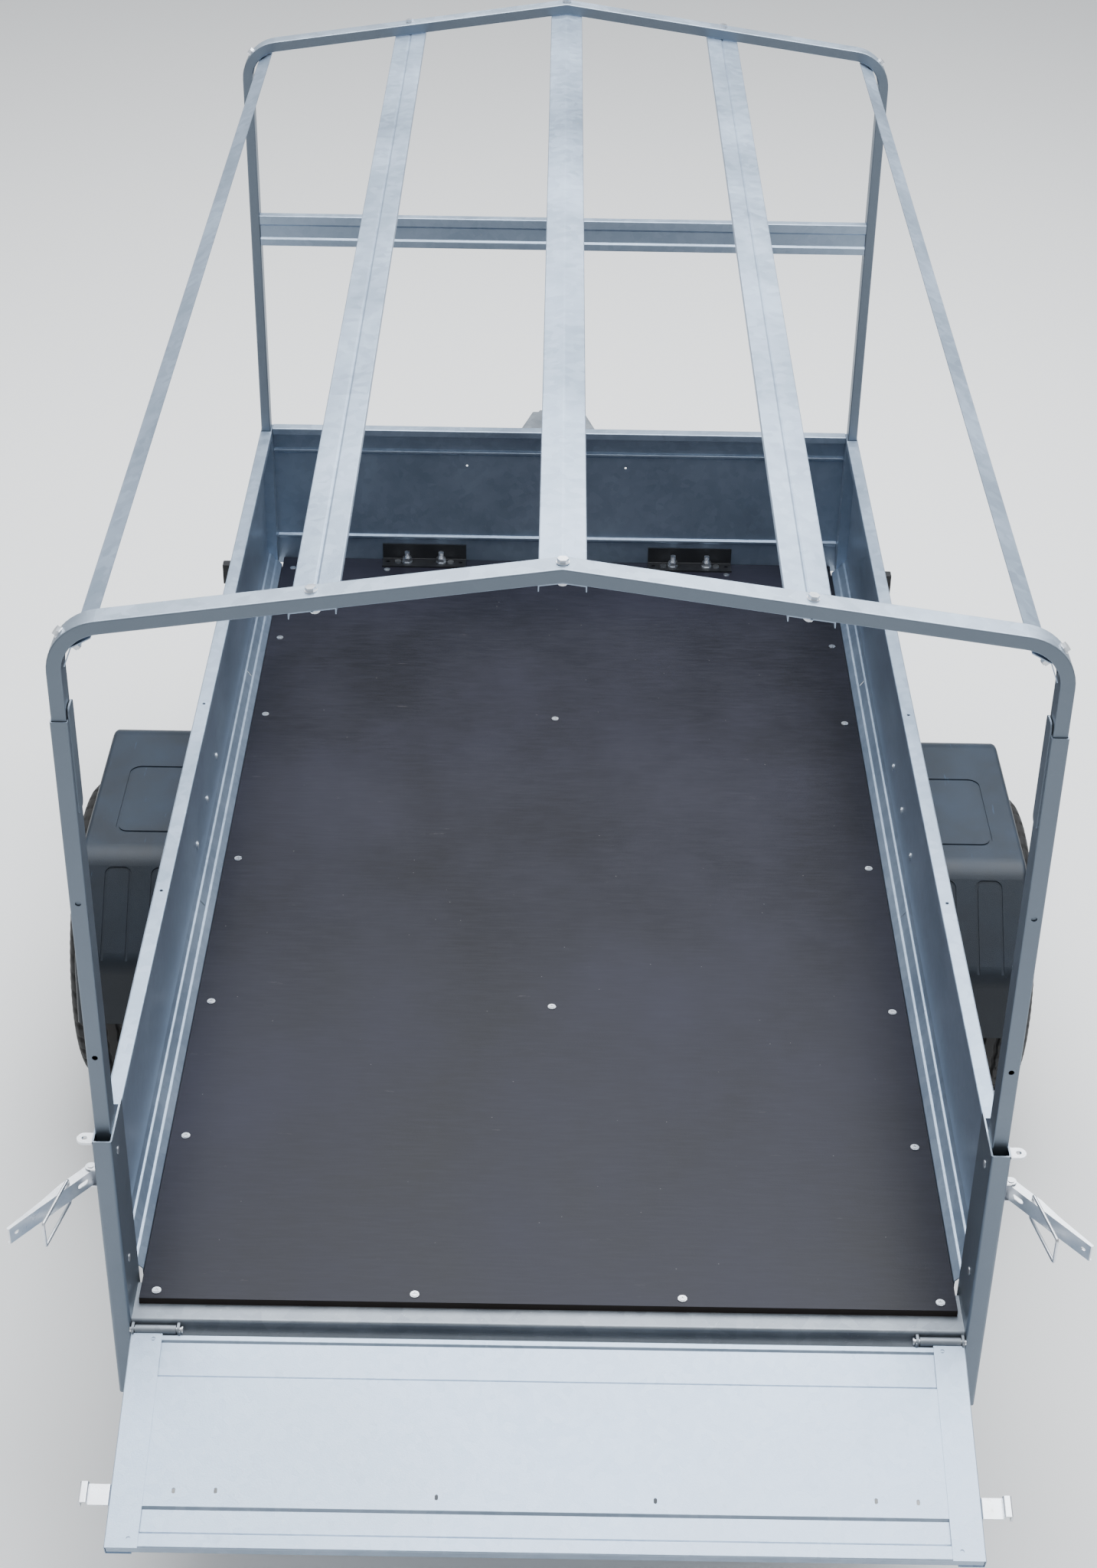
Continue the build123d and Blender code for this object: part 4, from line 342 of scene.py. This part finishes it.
def evenPath(corners, steps):
    # points at even steps of length along the straight lines between corners, in any dimension
    corners = np.asarray(corners, float)
    gaps = np.linalg.norm(np.diff(corners, axis=0), axis=1)
    reach = np.concatenate([[0], np.cumsum(gaps)])
    s = np.linspace(0, reach[-1], steps)
    return s, np.stack([np.interp(s, reach, corners[:, k]) for k in range(corners.shape[1])], axis=1)


def tyreOutline(outer, half):
    # half of the section, from the crown down the sidewall, round the bead and along the inside:
    # the crown falls with the fourth power of the offset, and the sidewall swells as a sine
    spec = tyreSpec
    tread, edge, drop = spec["treadHalf"], spec["rimEdge"], spec["crownDrop"]
    t = np.linspace(-1, 1, 13)
    crown = np.stack([t * tread, outer - drop * t**4], axis=1)
    w = np.linspace(0, 1, 15)[1:]
    wallX = tread + (half - tread) * np.sin(pi * w**0.72) + (spec["beadHalf"] - tread) * w
    wallR = (outer - drop) + (edge + 0.019 - outer + drop) * w
    wall = np.stack([np.minimum(wallX, half), wallR], axis=1)
    bead = np.array([(0.0585, edge + 0.007), (0.055, edge + 0.0045), (0.046, edge + 0.0025)])
    inner = np.array([(0.044, edge + 0.024), (half - 0.010, edge + 0.060), (0.052, outer - 0.016)])
    right = np.concatenate([wall, bead, inner])
    return np.concatenate([evenPath(crown, spec["treadSteps"])[1], right, right[::-1] * (-1, 1)])


def makeTyre(side, sign):
    # the closed section (offset across, radius) is turned round the axle; the tread's radius falls
    # in four swaying grooves, in fine middle cuts and in shoulder cuts that alternate side to side
    spec = tyreSpec
    low, high = (np.array(c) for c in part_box(f"{side}_tyre"))
    centre = (low + high) / 2
    outer = (high[2] - low[2]) / 2
    outline = tyreOutline(outer, (high[0] - low[0]) / 2 - spec["skinGap"])
    turn = np.arange(spec["stepsRound"]) * 2 * pi / spec["stepsRound"]
    across, angle = np.meshgrid(outline[:, 0], turn)
    radius = np.broadcast_to(outline[:, 1], across.shape).copy()
    onTread = np.broadcast_to(np.arange(len(outline)) < spec["treadSteps"], across.shape)
    offset, hand = np.abs(across), np.sign(across)
    sway = spec["grooveSway"] * np.sin(angle * spec["notches"])
    cuts = np.zeros_like(radius)
    for groove in spec["grooves"]:
        away = np.abs(across - groove - sway)
        cuts += spec["grooveDepth"] * (1 - smoothStep(away, spec["grooveHalf"] * 0.55, spec["grooveHalf"]))
    phase = np.sin(spec["notches"] * (angle + hand * 0.03) + across * 60)
    cuts += spec["notchDepth"] * smoothStep(phase, 0.72, 0.92) * smoothStep(offset, 0.041, 0.044)
    middle = smoothStep(0.034 - offset, 0, 0.003) * smoothStep(offset - 0.015, 0, 0.002)
    sipe = smoothStep(np.sin(spec["notches"] * angle - hand * across * 90), 0.93, 0.99)
    cuts += spec["sipeDepth"] * sipe * middle
    section = outline[:, 1]
    ribbed = ~onTread & (offset > 0.062) & (section > outer - 0.034) & (section < outer - 0.012)
    ribs = spec["ribHeight"] * (0.5 + 0.5 * np.sin(angle * spec["ribs"]))
    x = across - hand * np.where(ribbed, ribs, 0)
    radius -= np.where(onTread, cuts, 0)
    points = centre + np.stack([sign * x, radius * np.cos(angle), radius * np.sin(angle)], axis=-1)
    faces = gridFaces(spec["stepsRound"], len(outline), closeRows=True)
    if sign < 0:  # the mirrored side would face inwards
        faces = faces[:, ::-1]
    piece = putMesh(f"{side}TyreTread", points, faces.tolist(), "tyre", f"{side}_wheel")
    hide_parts(f"{side}_tyre")


for side, sign in sides:
    makeTyre(side, sign)
print("tyres made")

threadSpec = {
    "radius": 0.0064,
    "pitch": 0.00175,
    "depth": 0.00055,
    "steps": 18,
    "startTurn": pi / 4,
    "rowsPerPitch": 6,
    "taper": 0.0015,  # length of the reduced tip
    "tipDrop": 0.0008,
    "fromMiddle": 0.303,  # from the trailer's middle to each U-bolt's
    "legGap": 0.077,
}


def threadedRod(name, foot, length, body):
    # an upright screw thread: r = radius - depth (1 - tooth), where tooth is a triangle wave of
    # height / pitch - turn, so the profile climbs one pitch in each turn
    spec = threadSpec
    steps = spec["steps"]
    rows = int(length / spec["pitch"] * spec["rowsPerPitch"])
    turn = np.arange(steps) * 2 * pi / steps
    height, angle = np.meshgrid(np.linspace(0, length, rows), turn, indexing="ij")
    tooth = 1 - np.abs(2 * ((height / spec["pitch"] - angle / (2 * pi)) % 1.0) - 1)
    taper = smoothStep(length - height, 0, spec["taper"])
    radius = spec["radius"] - spec["depth"] * (1 - tooth) - spec["tipDrop"] * (1 - taper)
    base = np.array(foot)
    place = angle + spec["startTurn"]
    grid = base + np.stack([radius * np.cos(place), radius * np.sin(place), height], axis=-1)
    points = np.vstack([grid.reshape(-1, 3), base + (0, 0, length), base])
    top, last = rows * steps, (rows - 1) * steps
    caps = [[last + j, last + (j + 1) % steps, top] for j in range(steps)]
    caps += [[(j + 1) % steps, j, top + 1] for j in range(steps)]
    faces = gridFaces(rows, steps)[:, ::-1].tolist()
    return putMesh(name, points, faces + caps, "zinc", body)


boltLow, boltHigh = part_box("drawbar_u_bolts")
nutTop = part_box("clamp_nuts")[1][2]
for i, hand in enumerate((-1, 1)):
    for j, leg in enumerate((-1, 1)):
        x = hand * threadSpec["fromMiddle"] + leg * threadSpec["legGap"] / 2
        foot = (x, (boltLow[1] + boltHigh[1]) / 2, nutTop - 0.001)
        threadedRod(f"studThread{i}{j}", foot, boltHigh[2] - nutTop + 0.0005, "trailer")
print("threads made")


beadSpec = {
    "small": 0.0032,
    "large": 0.0048,
    "sides": 10,
    "rowStep": 0.0011,
    "leastRows": 12,
    "ripple": 0.16,
    "ripplePitch": 0.0034,
    "inset": 0.002,  # from the ends of a latch base
    "earOffsets": (0.0035, -0.0675),  # across, from the hinge tab's outer end
    "earHeights": (0.444, 0.470),
    "propHeight": 0.4082,
    "propRadius": 0.0252,
    "gussetBack": 1.56463,
    "gussetAcross": (0.055, 0.110),
    "gussetInset": 0.005,
    "spindleFace": 0.700,
    "spindleRadius": 0.0235,
}


def weldBead(name, points, width, body, slotName="frame_steel"):
    # a round tube along a path: r = width / 2 (1 + ripple |sin(pi s / pitch)|), and near its ends r
    # also falls with the square root of 1 - (2s / length - 1)^8
    spec = beadSpec
    count = spec["sides"]
    reach = np.linalg.norm(np.diff(np.asarray(points, float), axis=0), axis=1).cumsum()[-1]
    rows = max(spec["leastRows"], int(reach / spec["rowStep"]))
    s, line = evenPath(points, rows)
    tangent = np.gradient(line, axis=0)
    tangent /= np.linalg.norm(tangent, axis=1)[:, None]
    helper = (0.0, 0.0, 1.0) if abs(tangent[0][2]) < 0.9 else (0.0, 1.0, 0.0)
    first = np.cross(tangent, helper)
    first /= np.linalg.norm(first, axis=1)[:, None]
    second = np.cross(tangent, first)
    turn = (np.arange(count) * 2 * pi / count)[None, :, None]
    swell = 1 + spec["ripple"] * np.abs(np.sin(s * pi / spec["ripplePitch"]))
    ends = np.sqrt(np.clip(1 - (2 * s / reach - 1) ** 8, 0.02, 1))
    radius = (width / 2 * swell * ends)[:, None, None]
    grid = line[:, None, :] + radius * (np.cos(turn) * first[:, None, :] + np.sin(turn) * second[:, None, :])
    points = np.vstack([grid.reshape(-1, 3), line[0], line[-1]])
    total, last = rows * count, (rows - 1) * count
    caps = [[(j + 1) % count, j, total] for j in range(count)]
    caps += [[last + j, last + (j + 1) % count, total + 1] for j in range(count)]
    return putMesh(name, points, gridFaces(rows, count)[:, ::-1].tolist() + caps, slotName, body)


def ring(centre, radius, across, up, steps=40):
    # centre + radius (cos(t) across + sin(t) up), all the way round
    turn = np.linspace(0, 2 * pi, steps)[:, None]
    return np.array(centre) + radius * (np.cos(turn) * np.array(across) + np.sin(turn) * np.array(up))


baseLow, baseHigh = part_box("latch_bases")
eyeLow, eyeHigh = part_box("tie_eyes")
legLow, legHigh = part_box("prop_leg")
plateLow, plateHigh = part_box("drawbar_plates")
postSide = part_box("rear_posts")[1][0]
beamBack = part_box("rear_crossmember")[0][1]
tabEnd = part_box("hinge_tabs")[1][0]
small, large = beadSpec["small"], beadSpec["large"]
for side, sign in sides:
    x = sign * postSide
    bottom, top = baseLow[2] + beadSpec["inset"], baseHigh[2] - beadSpec["inset"]
    for end, y in (("a", baseLow[1]), ("b", baseHigh[1])):
        weldBead(f"{side}LatchBead{end}", [(x, y, bottom), (x, y, top)], small, "trailer", "zinc")
    run = [(x, eyeLow[1] + 0.001, eyeLow[2]), (x, eyeHigh[1] - 0.001, eyeLow[2])]
    weldBead(f"{side}EyeBead", run, small, "trailer", "zinc")
    for j, offset in enumerate(beadSpec["earOffsets"]):
        run = [(sign * (tabEnd + offset), beamBack, z) for z in beadSpec["earHeights"]]
        weldBead(f"{side}EarBead{j}", run, large, "trailer")
propRing = ring(
    (0, (legLow[1] + legHigh[1]) / 2, beadSpec["propHeight"]), beadSpec["propRadius"], (1, 0, 0), (0, 1, 0)
)
weldBead("propBead", propRing, large, "trailer")
for i, z in enumerate((plateHigh[2] - beadSpec["gussetInset"], plateLow[2] + beadSpec["gussetInset"])):
    for side, sign in sides:
        run = [(sign * x, beadSpec["gussetBack"], z) for x in beadSpec["gussetAcross"]]
        weldBead(f"{side}GussetBead{i}", run, large, "trailer")
for side, sign in sides:
    tyreLow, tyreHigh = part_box(f"{side}_tyre")
    axle = (sign * beadSpec["spindleFace"], (tyreLow[1] + tyreHigh[1]) / 2, (tyreLow[2] + tyreHigh[2]) / 2)
    spindleRing = ring(axle, beadSpec["spindleRadius"], (0, 1, 0), (0, 0, 1))
    weldBead(f"{side}SpindleBead", spindleRing, large, f"{side}_swing_arm")
print("weld beads made")

stageSpec = {
    "floorHalf": 30.0,
    "floorColour": (0.98, 0.98, 0.98, 1),
    "skyColour": (0.92, 0.96, 1.0, 1),
    "skyStrength": 0.50,
    "lens": 58.68,
    "sensor": 36.0,
    "farthest": 200.0,
    "spot": (-0.0164, -4.3364, 3.3110),
    "ahead": (0.00092, 0.83248, -0.55406),
    "rightward": (0.99987, 0.00823, 0.01402),
}
lights = {
    "overhead": {"place": (0.5, 0.8, 5.5), "aim": (0, -0.2, 0.4), "size": (6.0, 6.0), "power": 760.0,
                 "colour": (0.95, 0.98, 1.0)},
    "leftKey": {"place": (-5.0, -1.0, 4.8), "aim": (0, -0.5, 0.6), "size": (3.5, 3.5), "power": 40.0,
                "colour": (1, 1, 1)},
    "frontFill": {"place": (3.5, -5.5, 2.5), "aim": (0, -0.8, 0.6), "size": (3.0, 2.0), "power": 12.0,
                  "colour": (1.0, 0.98, 0.95)},
}
h = stageSpec["floorHalf"]
floorMesh = bpy.data.meshes.new("studioFloor")
floorMesh.from_pydata([(-h, -h, 0), (h, -h, 0), (h, h, 0), (-h, h, 0)], [], [(0, 1, 2, 3)])
floorMesh.materials.append(Finish("paleFloor", Roughness=0.9, Base_Color=stageSpec["floorColour"]).material)
studioFloor = bpy.data.objects.new("studioFloor", floorMesh)
bpy.context.collection.objects.link(studioFloor)

world = bpy.data.worlds.new("studio")
bpy.context.scene.world = world
world.use_nodes = True
backdrop = next(n for n in world.node_tree.nodes if n.type == "BACKGROUND")
backdrop.inputs[0].default_value = stageSpec["skyColour"]
backdrop.inputs[1].default_value = stageSpec["skyStrength"]

for name, spec in lights.items():
    light = bpy.data.lights.new(name, "AREA")
    light.shape = "RECTANGLE"
    light.size, light.size_y = spec["size"]
    light.energy = spec["power"]
    light.color = spec["colour"]
    lamp = bpy.data.objects.new(name, light)
    bpy.context.collection.objects.link(lamp)
    lamp.location = spec["place"]
    lamp.rotation_euler = (Vector(spec["aim"]) - Vector(spec["place"])).to_track_quat("-Z", "Y").to_euler()

camera = bpy.data.cameras.new("studioCamera")
camera.sensor_width = stageSpec["sensor"]
camera.lens = stageSpec["lens"]
camera.clip_end = stageSpec["farthest"]
viewer = bpy.data.objects.new("studioCamera", camera)
bpy.context.collection.objects.link(viewer)
ahead = Vector(stageSpec["ahead"]).normalized()
rightward = Vector(stageSpec["rightward"]).normalized()
turned = Matrix((rightward, rightward.cross(ahead), -ahead)).transposed()
viewer.matrix_world = Matrix.Translation(Vector(stageSpec["spot"])) @ turned.to_4x4()
bpy.context.scene.camera = viewer
print("stage set")
